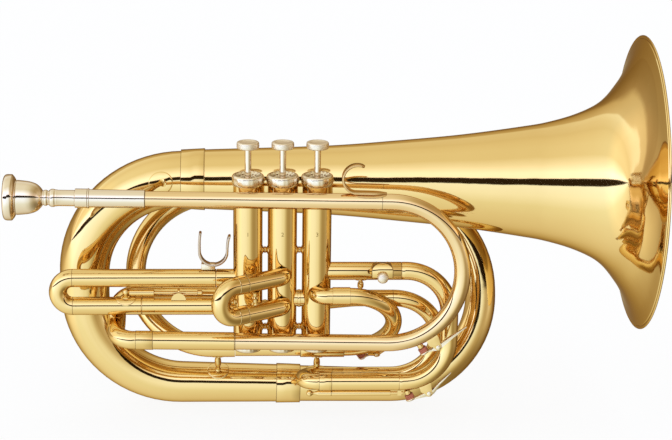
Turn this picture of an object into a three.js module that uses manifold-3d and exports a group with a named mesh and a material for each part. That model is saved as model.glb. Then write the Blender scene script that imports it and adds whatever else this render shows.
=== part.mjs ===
// Marching baritone horn in B flat, held to play: millimetres, +Z up along the valves.
// +X points out of the bell, +Y to the player's left. The origin is the hand grip on the
// middle valve, halfway up its casing.
import * as THREE from 'three';
import { mergeVertices } from 'three/addons/utils/BufferGeometryUtils.js';
import Module from 'manifold-3d';

const wasm = await Module();
wasm.setup();

// Driving dimensions

// Fits and faceting
const seat_gap = 0.3;
const slide_clearance = 0.3;
const cut_overrun = 1;
const tube_sides = 10;
const round_sides = 16;
const bow_sides = 12;
const tail_sides = 16;
const bell_sides = 24;
const bend_sagitta = 0.8;

// Valve block
const valve_spacing = 29;
const casing_radius = 12.3;
const casing_wall = 0.9;
const casing_top_z = 73;
const casing_bottom_z = -70;
const cap_radius = 13.6;
const cap_skirt = 7.4;
const cap_plate = 2.8;
const bottom_cap_depth = 7.8;
const bottom_cap_radius = 13.2;
const vent_radius = 2;
const stem_radius = 2.8;
const stem_shoulder_radius = 5;
const stem_shoulder_length = 12;
const button_radius = 9.4;
const button_height = 5.6;
const button_inset_radius = 6.8;
const button_inset_depth = 0.8;
const valve_stroke = 17;
const felt_room = 4.5;
const piston_top_z = 44;
const piston_bottom_z = -56;
const piston_well_z = 3;
const piston_wall = 1.2;
const spring_recess = 10;
const spring_radius = 8;
const spring_wire = 1.6;
const knuckle_left_z = -40.3;
const knuckle_right_z = -31.2;
const spacer_heights = [12.1, -56.5];
const spacer_end = 4.2;
const spacer_waist = 2.2;

// Half-inch bore tubing
const slide_radius = 7.7;
const slide_wall = 0.45;
const leg_wall = 0.4;
const lead_radius = 7.05;
const lead_start_radius = 6.6;
const lead_wall = 0.55;
const crook_radius = 7.15;
const ferrule_wall = 0.6;

// Leadpipe side, in front of the valves
const lead_y = -21;
const lead_start_z = 63.2;
const lead_end_z = 59.2;
const lead_bow_x = 151.2;
const return_right_z = -65.3;
const return_left_z = -61;
const lead_joint_x = 82;
const return_sleeve_x = -39.8;
const receiver_start_x = -171.1;
const receiver_end_x = -113.7;
const receiver_radius = 7.5;
const receiver_collar_radius = 8;
const receiver_collar_length = 10;
const shank_radius = 6.2;
const mouthpiece_length = 59.7;
const mouthpiece_rim_radius = 19.1;
const shank_insertion = 26;
const cup_depth = 21;
const cup_mouth_radius = 12.7;
const throat_radius = 3.3;
const cup_wall_length = 13.8;
const cup_waist_length = 34.2;
const bead_length = 46;

// Main tuning slide, at the left
const tuning_left_x = -141;
const tuning_bend = 15.5;
const tuning_knee_y = 8;
const tuning_knee_z = -55;
const tuning_knee_bend = 16;
const tuning_ferrule_x = -123.5;
const tuning_ferrule_length = 14.7;
const tuning_engagement = 62;
const tuning_far_y = 22.5;
const tuning_far_z = -35.4;
const inlet_start_x = -104;
const inlet_bend = 10.5;

// First valve slide
const first_upper_z = -13.1;
const first_lower_z = -38;
const first_left_x = -189.5;
const first_outer_reach = 26.9;
const first_sleeve_x = -119.3;
const first_engagement = 50;
const stop_post_x = -132.2;
const stop_rod_z = -26.2;
const stop_rod_end_x = -67.9;
const stop_guide_x = -88.5;
const guide_thickness = 1.8;
const guide_radius = 3.4;
const nut_radius = 1.9;
const nut_length = 4;
const stop_collar_length = 24;

// Second valve slide
const second_angle = THREE.MathUtils.degToRad(32);
const second_upper_z = -6.9;
const second_lower_z = -33.5;
const second_corner_y = -16;
const second_elbow = 8.5;
const second_sleeve_length = 36.5;
const second_ferrule_length = 8.5;
const second_reach = 60.7;
const second_engagement = 20;
const second_brace_share = 0.74;
const knob_radius = 3;

// Third valve slide
const third_upper_z = -6.9;
const third_lower_z = -107.5;
const third_lower_radius = 7.9;
const third_sleeve_end_x = 101.3;
const third_right_x = 143.4;
const third_bend = 38;
const third_ferrule_x = 32.4;
const third_ferrule_length = 10.6;
const third_engagement = 50;
const third_return_y = 26;
const third_return_z = -111.5;
const third_return_joint_x = 45;
const rear_crook_x = 135.3;
const rear_upper_y = 9;
const rear_upper_z = -34.4;
const rear_kink_x = 62;
const rear_kink_radius = 30;
const rear_post_x = 67;
const stop_sleeve_left_x = 31.6;
const stop_sleeve_right_x = 94.3;
const third_rod_end_x = 105.4;
const finial_radius = 2.8;
const third_travel = 45;
const third_rod_foot = 3.4;

// Outlet crook and leg
const outlet_y = -18;
const outlet_z = -23.5;
const outlet_elbow = 9;
const outlet_right_x = 96;
const outlet_ferrule_x = 42.2;
const outlet_ferrule_length = 15;
const lower_leg_y = 28;
const lower_leg_z = -86.8;
const outlet_sleeve_left_x = 16.5;
const outlet_sleeve_right_x = 55;
const outlet_joint_x = 52;
const outlet_leg_left_x = -40;

// Conical bows behind the valves
const branch_y = 98;
const branch_z = 31.8;
const rear_bow_left_x = -127.4;
const front_bow_right_x = 178.7;
const bell_y = 52;
const bell_z = 58.8;
const bell_fall = 0.006;
const bottom_z = -129.1;
const bottom_fall = 0.018;
const bow_share = 0.493;
const low_bend_share = 0.95;
const tail_left_x = -171.1;
const tail_bend = 85;
const bottom_ferrule_left_x = -4;
const bottom_ferrule_length = 21.4;
const bell_start_x = -66;
const bell_ferrule_length = 20.6;
const rim_x = 311.4;
const rim_radius = 127;
const rim_bead = 1.7;
const bow_wall = 0.8;
const rear_bow_start_radius = 7.9;
const rear_bow_end_radius = 9.3;
const branch_end_radius = 11.6;
const bottom_start_radius = 14.8;
const bottom_ferrule_radius = 16;
const tail_start_radius = 16.5;
const tail_bottom_radius = 18.1;
const tail_mid_radius = 21.3;
const tail_end_radius = 24.5;
const bell_throat_radius = 25.7;

// The bell's outline: radius against distance, as shares of the rim radius and of the length
// from the valves to the rim
const bell_shares = [
  [0.237, 0.141], [0.276, 0.329], [0.318, 0.5], [0.377, 0.67], [0.402, 0.729],
  [0.461, 0.814], [0.531, 0.876], [0.592, 0.907], [0.688, 0.939], [0.768, 0.961],
  [0.875, 0.982],
];

// Fittings
const post_radius = 2.2;
const flange_radius = 9.7;
const flange_thickness = 1.2;
const strip_thickness = 1.3;
const saddle_width = 7;
const saddle_inset = 1.7;
const saddle_half_width = 11.6;
const saddle_bottom_z = -1;
const saddle_height = 27;
const saddle_foot_length = 11.7;
const saddle_foot_inset = 0.7;
const rod_radius = 1.2;
const stop_sleeve_radius = 2.25;
const brace_rod_radius = 2.6;
const brace_foot_radius = 5;
const brace_foot_height = 1.6;
const receiver_brace_x = -126;
const receiver_flange_x = -102;
const receiver_flange_z = 62.5;
const bottom_brace_x = [-55.3, 31.6];
const hook_width = 8;
const hook_tongue_x = 91;
const hook_curl_x = 62.5;
const hook_curl_radius = 12;
const hook_end_share = 0.58;
const lyre_x = [75.5, 93];
const lyre_height = 11;
const lyre_depth = 9;
const lyre_slot = 9;
const lyre_slot_depth = 5.2;
const lyre_screw_z = -6.5;
const lyre_screw_radius = 1.5;
const lyre_head_radius = 5;

// Water keys: each is set by its angle round its bend from straight down, and by the places
// of its cork, pivot and tail, along the tube and out from its surface
const pin_radius = 0.9;
const barrel_radius = 2.2;
const cheek_half_gap = 3.2;
const cheek_thickness = 1.2;
const cheek_length = 5.2;
const seat_length = 9;
const seat_height = 1.8;
const lever_width = 4.2;
const cork_radius = 4;
const cork_height = 4.5;
const nipple_radius = 2.6;
const drain_radius = 1.2;
const bow_key_angle = THREE.MathUtils.degToRad(34);
const slide_key_angle = THREE.MathUtils.degToRad(25);
const outlet_key_angle = THREE.MathUtils.degToRad(31);
const bow_key_points = [-12.5, 4, 8.1, 29.6, 7.4];
const slide_key_points = [-16.8, 3.7, 7.2, 24.9, -1];
const outlet_key_points = [-14, 3, 6, 20, 4];

// Colours
const brass = { color: 0xe3bd62, metalness: 1, roughness: 0.12 };
const gold_brass = { color: 0xe8b878, metalness: 1, roughness: 0.12 };
const silver = { color: 0xe6ddd0, metalness: 1, roughness: 0.16 };
const monel = { color: 0xb9b2a6, metalness: 1, roughness: 0.3 };
const steel = { color: 0x9a9a98, metalness: 1, roughness: 0.35 };

const horn = new THREE.Group();
const up = new THREE.Vector3(0, 0, 1);
const along = new THREE.Vector3(1, 0, 0);
const deep = new THREE.Vector3(0, 1, 0);
const at = (x, y, z) => new THREE.Vector3(x, y, z);

// Geometry helpers

// A closed mesh with shared vertices and its faces pointing out
function closed(geometry) {
  const bare = geometry.clone();
  bare.deleteAttribute('normal');
  bare.deleteAttribute('uv');
  const merged = mergeVertices(bare, 1e-5);
  const place = merged.getAttribute('position');
  const index = Array.from(merged.getIndex().array);
  const a = at(0, 0, 0);
  const b = at(0, 0, 0);
  const c = at(0, 0, 0);
  const kept = [];
  let volume = 0;
  for (let i = 0; i < index.length; i += 3) {
    const [p, q, r] = index.slice(i, i + 3);
    if (p === q || q === r || r === p) continue;
    kept.push(p, q, r);
    a.fromBufferAttribute(place, p);
    b.fromBufferAttribute(place, q);
    c.fromBufferAttribute(place, r);
    volume += a.dot(b.cross(c));
  }
  if (volume < 0) kept.reverse();
  merged.setIndex(kept);
  return merged;
}

function solid(geometry) {
  const tidy = closed(geometry);
  return new wasm.Manifold(new wasm.Mesh({
    numProp: 3,
    vertProperties: new Float32Array(tidy.getAttribute('position').array),
    triVerts: new Uint32Array(tidy.getIndex().array),
  }));
}

function shape(manifold) {
  const mesh = manifold.getMesh();
  const geometry = new THREE.BufferGeometry();
  geometry.setAttribute('position', new THREE.BufferAttribute(mesh.vertProperties, 3));
  geometry.setIndex(new THREE.BufferAttribute(mesh.triVerts, 1));
  return geometry;
}

const joined = (first, ...rest) =>
  shape(rest.reduce((sum, piece) => sum.add(solid(piece)), solid(first)));

const cut = (first, ...rest) =>
  shape(rest.reduce((sum, piece) => sum.subtract(solid(piece)), solid(first)));

function add(name, geometry, finish) {
  const tidy = closed(geometry);
  tidy.computeVertexNormals();
  const mesh = new THREE.Mesh(tidy, new THREE.MeshStandardMaterial(finish));
  mesh.name = name;
  horn.add(mesh);
  return mesh;
}

// Turns a geometry made along its local Y axis to point along a direction
function aimed(geometry, direction, origin) {
  const turn = new THREE.Quaternion().setFromUnitVectors(deep, direction.clone().normalize());
  return geometry.clone().applyQuaternion(turn).translate(origin.x, origin.y, origin.z);
}

// A turned piece: the outline is a list of [radius, distance along the axis]
function turned(outline, sides, direction, origin) {
  const onAxis = outline[0][0] === 0 && outline[outline.length - 1][0] === 0;
  const points = outline.map(([radius, distance]) => new THREE.Vector2(radius, distance));
  if (!onAxis) points.push(points[0].clone());
  return aimed(new THREE.LatheGeometry(points, sides), direction, origin);
}

function rod(from, to, radius, sides = tube_sides) {
  const length = from.distanceTo(to);
  const axis = to.clone().sub(from);
  return turned([[0, 0], [radius, 0], [radius, length], [0, length]], sides, axis, from);
}

const bend_steps = (radius, turn) =>
  Math.max(2, Math.ceil(turn / (2 * Math.acos(1 - bend_sagitta / radius))));

// A line of straights and arcs through corners, each corner rounded to its radius
function route(corners, radii) {
  const pieces = [];
  let from = corners[0];
  for (let i = 1; i < corners.length - 1; i += 1) {
    const back = corners[i - 1].clone().sub(corners[i]).normalize();
    const ahead = corners[i + 1].clone().sub(corners[i]).normalize();
    const turn = Math.PI - back.angleTo(ahead);
    const reach = radii[i - 1] * Math.tan(turn / 2);
    const start = corners[i].clone().addScaledVector(back, reach);
    const middle = back.clone().add(ahead).normalize();
    const centre = corners[i].clone()
      .addScaledVector(middle, Math.hypot(radii[i - 1], reach));
    pieces.push({ from, to: start, length: from.distanceTo(start) });
    pieces.push({
      centre, turn, steps: bend_steps(radii[i - 1], turn),
      out: start.clone().sub(centre), tangent: back.clone().negate(),
      radius: radii[i - 1], length: radii[i - 1] * turn,
    });
    from = corners[i].clone().addScaledVector(ahead, reach);
  }
  const to = corners[corners.length - 1];
  pieces.push({ from, to, length: from.distanceTo(to) });
  const length = pieces.reduce((sum, piece) => sum + piece.length, 0);
  const stops = [0];
  let distance = 0;
  for (const piece of pieces) {
    const steps = piece.steps ?? 1;
    for (let i = 1; i <= steps; i += 1) stops.push(distance + (piece.length * i) / steps);
    distance += piece.length;
  }
  const sample = (where) => {
    let left = where;
    for (const piece of pieces) {
      if (left <= piece.length || piece === pieces[pieces.length - 1]) {
        if (!piece.steps) {
          const tangent = piece.to.clone().sub(piece.from).normalize();
          return { point: piece.from.clone().addScaledVector(tangent, left), tangent };
        }
        const angle = left / piece.radius;
        const side = piece.out.clone().multiplyScalar(Math.cos(angle));
        const forward = piece.tangent.clone().multiplyScalar(Math.sin(angle));
        const point = piece.centre.clone().add(side).addScaledVector(forward, piece.radius);
        const tangent = piece.tangent.clone().multiplyScalar(Math.cos(angle))
          .addScaledVector(piece.out.clone().normalize(), -Math.sin(angle));
        return { point, tangent };
      }
      left -= piece.length;
    }
    return null;
  };
  return { length, stops, sample };
}

// A hollow tube along a route. The profile lists [distance, outer radius, wall], and a
// distance given twice makes a step. A wall as thick as the radius makes a solid bar.
function tube(path, profile, sides = tube_sides) {
  const rings = profile.map(([distance, outer, wall]) => ({ distance, outer, wall }));
  for (const distance of path.stops) {
    if (rings.some((ring) => Math.abs(ring.distance - distance) < seat_gap)) continue;
    const next = rings.findIndex((ring) => ring.distance > distance);
    if (next < 1) continue;
    const a = rings[next - 1];
    const b = rings[next];
    const share = (distance - a.distance) / (b.distance - a.distance);
    rings.splice(next, 0, {
      distance,
      outer: THREE.MathUtils.lerp(a.outer, b.outer, share),
      wall: THREE.MathUtils.lerp(a.wall, b.wall, share),
    });
  }
  const places = [];
  const index = [];
  let across = null;
  let before = null;
  for (const ring of rings) {
    const { point, tangent } = path.sample(ring.distance);
    if (!before) {
      across = Math.abs(tangent.y) < Math.SQRT1_2 ? deep.clone() : up.clone();
    } else {
      across.applyQuaternion(new THREE.Quaternion().setFromUnitVectors(before, tangent));
    }
    across.addScaledVector(tangent, -across.dot(tangent)).normalize();
    before = tangent;
    const third = tangent.clone().cross(across);
    for (const radius of [ring.outer, ring.outer - ring.wall]) {
      for (let i = 0; i < sides; i += 1) {
        const angle = (2 * Math.PI * i) / sides;
        const place = point.clone()
          .addScaledVector(across, radius * Math.cos(angle))
          .addScaledVector(third, radius * Math.sin(angle));
        places.push(place.x, place.y, place.z);
      }
    }
  }
  const corner = (ring, layer, i) => (ring * 2 + layer) * sides + (i % sides);
  const quad = (a, b, c, d) => index.push(a, b, c, a, c, d);
  const last = rings.length - 1;
  for (let i = 0; i < sides; i += 1) {
    for (let r = 0; r < last; r += 1) {
      quad(corner(r, 0, i), corner(r, 0, i + 1), corner(r + 1, 0, i + 1), corner(r + 1, 0, i));
      quad(corner(r, 1, i), corner(r + 1, 1, i), corner(r + 1, 1, i + 1), corner(r, 1, i + 1));
    }
    quad(corner(0, 0, i), corner(0, 1, i), corner(0, 1, i + 1), corner(0, 0, i + 1));
    quad(corner(last, 0, i), corner(last, 0, i + 1), corner(last, 1, i + 1),
      corner(last, 1, i));
  }
  const geometry = new THREE.BufferGeometry();
  geometry.setAttribute('position', new THREE.Float32BufferAttribute(places, 3));
  geometry.setIndex(index);
  return geometry;
}

const plain = (path, outer, wall, sides) =>
  tube(path, [[0, outer, wall], [path.length, outer, wall]], sides);

const straight = (from, to, outer, wall, sides) =>
  plain(route([from, to], []), outer, wall, sides);

const bar = (path, radius, sides) => plain(path, radius, radius, sides);

// The outer radius of a leg that slides in a sleeve, clear of the sleeve's flat facets
const leg_in = (sleeve, wall) => (sleeve - wall) * Math.cos(Math.PI / tube_sides) - slide_clearance;

const leg_radius = leg_in(slide_radius, slide_wall);
const bore_radius = leg_radius - leg_wall;

// How far from a slide tube's axis a brazed piece starts, inside the tube's wall
const sunk_radius = slide_radius * Math.cos(Math.PI / tube_sides) - slide_wall / 2;

// A ring around a butt joint between two tubes
function ferrule(from, to, fromRadius, toRadius, wall, sides = tube_sides) {
  const path = route([from, to], []);
  const outer = (radius) => (radius + seat_gap) / Math.cos(Math.PI / sides) + wall;
  return tube(path, [[0, outer(fromRadius), wall], [path.length, outer(toRadius), wall]], sides);
}

const valve_x = [-valve_spacing, 0, valve_spacing];
const first_outer_end_x = valve_x[0] - first_outer_reach;
const saddle_x = first_outer_end_x - saddle_inset;

// The room that a casing takes, with the gap that a seated tube keeps to it
function casing_room(valve) {
  const radius = (casing_radius + seat_gap) / Math.cos(Math.PI / round_sides);
  return rod(at(valve_x[valve], 0, casing_bottom_z), at(valve_x[valve], 0, casing_top_z),
    radius, round_sides);
}

// A flat strip of a given width, from its outline in the XZ plane
function strip(outline, width, y) {
  const piece = new THREE.ExtrudeGeometry(new THREE.Shape(outline), {
    depth: width, bevelEnabled: false, steps: 1,
  });
  piece.rotateX(Math.PI / 2);
  return piece.translate(0, y + width / 2, 0);
}

// The outline of a strip of even thickness along a list of points in the XZ plane
function band(points, thickness) {
  const left = [];
  const right = [];
  points.forEach((point, i) => {
    const ahead = points[Math.min(i + 1, points.length - 1)];
    const behind = points[Math.max(i - 1, 0)];
    const way = ahead.clone().sub(behind).normalize();
    const side = new THREE.Vector2(-way.y, way.x).multiplyScalar(thickness / 2);
    left.push(point.clone().add(side));
    right.unshift(point.clone().sub(side));
  });
  return [...left, ...right];
}

// Water keys and the seats that their tubes carry

// A key's place on a bend: its local X runs along the tube to the lever's tail, its local Z
// out from the tube, with zero at the tube's surface
function keyPlace(centre, out, reach, angle, points) {
  const ahead = along.clone();
  const outward = out.clone().multiplyScalar(Math.cos(angle))
    .addScaledVector(ahead, Math.sin(angle));
  const tailward = ahead.multiplyScalar(Math.cos(angle)).addScaledVector(out, -Math.sin(angle));
  const matrix = new THREE.Matrix4()
    .makeBasis(tailward, outward.clone().cross(tailward), outward)
    .setPosition(centre.clone().addScaledVector(outward, reach));
  const nipple_top = points.cork.y - cork_height / 2 - seat_gap;
  const surface = -(points.cork.x ** 2) / (2 * reach);
  return { matrix, nipple_top, surface, ...points };
}

function block(x0, x1, y0, y1, z0, z1) {
  const box = new THREE.BoxGeometry(x1 - x0, y1 - y0, z1 - z0);
  return box.translate((x0 + x1) / 2, (y0 + y1) / 2, (z0 + z1) / 2);
}

function keySeat(pipe, core, key) {
  const sink = -barrel_radius * 1.5;
  const wide = cheek_half_gap + cheek_thickness;
  const cheek_top = key.pivot.y + barrel_radius * 0.9;
  const half = cheek_length / 2;
  const cork_at = at(key.cork.x, 0, key.nipple_top);
  const pieces = [
    block(-seat_length / 2, seat_length / 2, -wide, wide, sink, seat_height),
    block(-half, half, cheek_half_gap, wide, sink, cheek_top),
    block(-half, half, -wide, -cheek_half_gap, sink, cheek_top),
    rod(at(0, -wide + seat_gap, key.pivot.y), at(0, wide - seat_gap, key.pivot.y), pin_radius),
    rod(cork_at, at(key.cork.x, 0, key.surface - nipple_radius), nipple_radius),
  ].map((piece) => piece.applyMatrix4(key.matrix));
  const drain = rod(at(key.cork.x, 0, key.nipple_top + cut_overrun),
    at(key.cork.x, 0, key.surface - nipple_radius), drain_radius).applyMatrix4(key.matrix);
  return cut(joined(pipe, cut(joined(...pieces), core)), drain);
}

function waterKey(key) {
  const { pivot, cork, tail, nipple_top } = key;
  const pad_top = nipple_top + seat_gap + cork_height;
  const ridge = pivot.y + barrel_radius * 0.75;
  const arm = strip(band([
    new THREE.Vector2(cork.x - cork_radius * 0.5, pad_top),
    new THREE.Vector2(cork.x + cork_radius, pad_top),
    new THREE.Vector2(-barrel_radius, ridge),
    new THREE.Vector2(barrel_radius, ridge),
    new THREE.Vector2(tail.x, tail.y),
  ], strip_thickness), lever_width, 0);
  const pad = rod(at(cork.x, 0, nipple_top + seat_gap), at(cork.x, 0, pad_top), cork_radius);
  const reach = cheek_half_gap - seat_gap;
  const barrel = rod(at(0, -reach, pivot.y), at(0, reach, pivot.y), barrel_radius);
  const hole = rod(at(0, -reach - cut_overrun, pivot.y), at(0, reach + cut_overrun, pivot.y),
    pin_radius + seat_gap);
  return cut(joined(arm, pad, barrel), hole).applyMatrix4(key.matrix);
}

const keyPoints = (cork_x, cork_z, pivot_z, tail_x, tail_z) => ({
  cork: new THREE.Vector2(cork_x, cork_z),
  pivot: new THREE.Vector2(0, pivot_z),
  tail: new THREE.Vector2(tail_x, tail_z),
});

const lead_bend = (lead_end_z - return_right_z) / 2 - seat_gap;
const bow_key = keyPlace(
  at(lead_bow_x - lead_bend, lead_y, (lead_end_z + return_right_z) / 2),
  up.clone().negate(), lead_bend + lead_radius, bow_key_angle,
  keyPoints(...bow_key_points),
);
const slide_key = keyPlace(
  at(third_right_x - third_bend, 0, third_lower_z + third_bend),
  up.clone().negate(), third_bend + slide_radius, slide_key_angle,
  keyPoints(...slide_key_points),
);
const outlet_top = at(outlet_right_x, outlet_y, outlet_z);
const outlet_bottom = at(outlet_right_x, lower_leg_y, lower_leg_z);
const outlet_bend = outlet_top.distanceTo(outlet_bottom) / 2 - seat_gap / 10;
const outlet_key = keyPlace(
  outlet_top.clone().add(outlet_bottom).multiplyScalar(0.5)
    .addScaledVector(along, -outlet_bend),
  outlet_bottom.clone().sub(outlet_top).normalize(),
  outlet_bend + crook_radius, outlet_key_angle,
  keyPoints(...outlet_key_points),
);

add('water_key_1', waterKey(bow_key), silver);
add('water_key_2', waterKey(slide_key), silver);
add('water_key_3', waterKey(outlet_key), silver);

// Mouthpiece, receiver and leadpipe

const lead_fall = new THREE.Vector3(lead_bow_x - receiver_start_x, 0, lead_end_z - lead_start_z)
  .normalize();
const lead_at = (x) => at(x, lead_y, THREE.MathUtils.mapLinear(x, receiver_start_x, lead_bow_x,
  lead_start_z, lead_end_z));

function mouthpiece() {
  const tip = mouthpiece_length + shank_insertion;
  const rim = mouthpiece_rim_radius;
  const outline = [
    [cup_mouth_radius, rim * 0.06],
    [rim * 0.8, 0],
    [rim * 0.95, rim * 0.06],
    [rim, rim * 0.2],
    [rim, cup_wall_length * 0.77],
    [rim * 0.86, cup_wall_length],
    [rim * 0.76, cup_wall_length * 1.05],
    [rim * 0.73, cup_waist_length * 0.62],
    [rim * 0.66, cup_waist_length * 0.78],
    [rim * 0.5, cup_waist_length * 0.93],
    [rim * 0.33, cup_waist_length],
    [rim * 0.31, cup_waist_length * 1.12],
    [rim * 0.38, cup_waist_length * 1.16],
    [rim * 0.38, cup_waist_length * 1.24],
    [rim * 0.34, bead_length],
    [rim * 0.34, mouthpiece_length - seat_gap],
    [shank_radius, mouthpiece_length - seat_gap],
    [shank_radius * 0.9, tip],
    [shank_radius * 0.75, tip],
    [throat_radius, cup_depth * 1.5],
    [throat_radius, cup_depth],
    [cup_mouth_radius * 0.55, cup_depth * 0.8],
    [cup_mouth_radius * 0.88, cup_depth * 0.5],
  ];
  return turned(outline, round_sides, lead_fall, lead_at(receiver_start_x - mouthpiece_length));
}
add('mouthpiece', mouthpiece(), silver);

const socket_radius = shank_radius + slide_clearance * 1.5;

function receiver() {
  const length = receiver_end_x - receiver_start_x;
  const bead = receiver_collar_radius + strip_thickness * 0.3;
  const ring = receiver_collar_length + strip_thickness;
  const stop = shank_insertion + cut_overrun * 2;
  const outline = [
    [receiver_collar_radius, 0],
    [receiver_collar_radius, receiver_collar_length],
    [bead, receiver_collar_length],
    [bead, ring],
    [receiver_radius, ring],
    [receiver_radius, length],
    [shank_radius * 0.95, length],
    [shank_radius * 0.95, stop],
    [socket_radius, stop],
    [socket_radius, 0],
  ];
  return turned(outline, round_sides, lead_fall, lead_at(receiver_start_x));
}
add('mouthpiece_receiver', receiver(), silver);

function leadpipe() {
  const path = route([lead_at(receiver_end_x + seat_gap), lead_at(lead_joint_x)], []);
  return tube(path, [
    [0, lead_start_radius, lead_wall],
    [path.length, lead_radius, lead_wall],
  ]);
}
add('leadpipe', leadpipe(), gold_brass);

const return_way = new THREE.Vector3(tuning_left_x - lead_bow_x, 0, return_left_z - return_right_z)
  .normalize();
const return_at = (x) => at(x, lead_y, THREE.MathUtils.mapLinear(x, lead_bow_x, tuning_left_x,
  return_right_z, return_left_z));
const return_leg_end_x = tuning_ferrule_x + (return_sleeve_x - tuning_ferrule_x - tuning_engagement);

function leadpipe_bow() {
  const path = route([
    lead_at(lead_joint_x + seat_gap),
    lead_at(lead_bow_x),
    return_at(lead_bow_x),
    return_at(return_leg_end_x),
  ], [lead_bend, lead_bend]);
  const leg_start = path.length - (return_sleeve_x - return_leg_end_x);
  const pipe = tube(path, [
    [0, lead_radius, lead_wall],
    [leg_start - lead_radius, lead_radius, lead_wall],
    [leg_start, lead_radius, lead_radius - bore_radius],
    [leg_start, leg_radius, leg_wall],
    [path.length, leg_radius, leg_wall],
  ]);
  return keySeat(pipe, bar(path, lead_radius - lead_wall / 2), bow_key);
}
add('leadpipe_bow', leadpipe_bow(), gold_brass);

// Main tuning slide

const tuning_far_at = (x) => at(x, tuning_far_y,
  tuning_far_z + ((x - tuning_left_x) * return_way.z) / return_way.x);

function tuning_slide() {
  const leg_end_x = inlet_start_x + tuning_engagement * 0.5;
  const path = route([
    return_at(return_sleeve_x - seat_gap),
    return_at(tuning_left_x),
    at(tuning_left_x, tuning_knee_y, tuning_knee_z),
    tuning_far_at(tuning_left_x),
    tuning_far_at(leg_end_x),
  ], [tuning_bend, tuning_knee_bend, tuning_bend]);
  const far_length = leg_end_x - inlet_start_x;
  const ferrule_end = return_sleeve_x - tuning_ferrule_x;
  const ferrule_start = ferrule_end - tuning_ferrule_length;
  const ring = slide_radius + ferrule_wall * 0.5;
  const leg_start = path.length - far_length;
  return tube(path, [
    [0, slide_radius, slide_wall],
    [ferrule_start, slide_radius, slide_wall],
    [ferrule_start, ring, slide_wall + ring - slide_radius],
    [ferrule_end, ring, slide_wall + ring - slide_radius],
    [ferrule_end, slide_radius, slide_radius - bore_radius],
    [leg_start, slide_radius, slide_radius - bore_radius],
    [leg_start, leg_radius, leg_wall],
    [path.length, leg_radius, leg_wall],
  ]);
}
add('main_tuning_slide', tuning_slide(), brass);

const inlet_z = tuning_far_at(valve_x[0]).z;

function tuning_inlet() {
  const path = route([
    tuning_far_at(inlet_start_x + seat_gap),
    tuning_far_at(valve_x[0]),
    at(valve_x[0], 0, inlet_z),
  ], [inlet_bend]);
  return cut(plain(path, slide_radius, slide_wall), casing_room(0));
}
add('tuning_slide_inlet', tuning_inlet(), brass);

// Valve casings and what is inside them

// Each port: the valve, the height, and the way that it leaves the casing
const ports = [
  [0, inlet_z, deep],
  [0, first_upper_z, along.clone().negate()],
  [0, first_lower_z, along.clone().negate()],
  [0, knuckle_left_z, along],
  [1, knuckle_left_z, along.clone().negate()],
  [1, second_upper_z, deep.clone().negate()],
  [1, second_lower_z, deep.clone().negate()],
  [1, knuckle_right_z, along],
  [2, knuckle_right_z, along.clone().negate()],
  [2, third_upper_z, along],
  [2, rear_upper_z, along],
  [2, outlet_z, deep.clone().negate()],
];

const casing_inner = casing_radius - casing_wall;
const piston_radius = casing_inner * Math.cos(Math.PI / round_sides) - slide_clearance;

function casing(valve) {
  const outline = [
    [casing_radius, casing_bottom_z],
    [casing_radius, casing_top_z],
    [casing_inner, casing_top_z],
    [casing_inner, casing_bottom_z],
  ];
  const holes = ports.filter(([owner]) => owner === valve).map(([, z, way]) => {
    const axis = at(valve_x[valve], 0, z);
    const reach = casing_radius + cut_overrun;
    return rod(axis, axis.clone().addScaledVector(way.clone().normalize(), reach),
      bore_radius, tube_sides);
  });
  return cut(turned(outline, round_sides, up, at(valve_x[valve], 0, 0)), ...holes);
}

const skirt_inner = (casing_radius + seat_gap) / Math.cos(Math.PI / round_sides);
const cap_top_z = casing_top_z + seat_gap + cap_plate;
const button_bottom_z = cap_top_z + valve_stroke + felt_room + cap_plate;

function top_cap() {
  const edge = cap_plate * 0.4;
  return [
    [skirt_inner, cap_top_z - cap_plate],
    [stem_radius + slide_clearance * 2, cap_top_z - cap_plate],
    [stem_radius + slide_clearance * 2, cap_top_z + edge],
    [stem_shoulder_radius, cap_top_z + edge],
    [stem_shoulder_radius + edge, cap_top_z],
    [cap_radius - edge * 2, cap_top_z],
    [cap_radius - edge * 2, cap_top_z + edge],
    [cap_radius - edge, cap_top_z + edge],
    [cap_radius, cap_top_z],
    [cap_radius, cap_top_z - cap_skirt + edge],
    [cap_radius - edge * 0.5, cap_top_z - cap_skirt],
    [skirt_inner, cap_top_z - cap_skirt],
  ];
}

const bottom_cap_z = casing_bottom_z - bottom_cap_depth;

function bottom_cap() {
  const edge = cap_plate * 0.5;
  const skirt_top = casing_bottom_z + cap_plate;
  return [
    [vent_radius, bottom_cap_z],
    [bottom_cap_radius - edge * 2, bottom_cap_z],
    [bottom_cap_radius, bottom_cap_z + edge * 2],
    [bottom_cap_radius, skirt_top],
    [skirt_inner, skirt_top],
    [skirt_inner, casing_bottom_z - seat_gap],
    [casing_inner, casing_bottom_z - seat_gap],
    [casing_inner, bottom_cap_z + cap_plate],
    [vent_radius, bottom_cap_z + cap_plate],
  ];
}

const spring_bottom_z = bottom_cap_z + cap_plate + seat_gap;
const spring_top_z = piston_bottom_z + spring_recess - seat_gap;

function piston(valve) {
  const recess = spring_radius + slide_clearance * 2;
  const outline = [
    [0, piston_bottom_z + spring_recess],
    [recess, piston_bottom_z + spring_recess],
    [recess, piston_bottom_z],
    [piston_radius, piston_bottom_z],
    [piston_radius, piston_top_z],
    [piston_radius - piston_wall, piston_top_z],
    [piston_radius - piston_wall, piston_well_z],
    [0, piston_well_z],
  ];
  const body = turned(outline, round_sides, up, at(valve_x[valve], 0, 0));
  const reach = casing_radius;
  const levels = [first_upper_z, first_lower_z];
  const passages = levels.map((z) => rod(
    at(valve_x[valve] - reach, 0, z),
    at(valve_x[valve] + reach, 0, z + bore_radius),
    bore_radius, tube_sides,
  ));
  return cut(body, ...passages);
}

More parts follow.
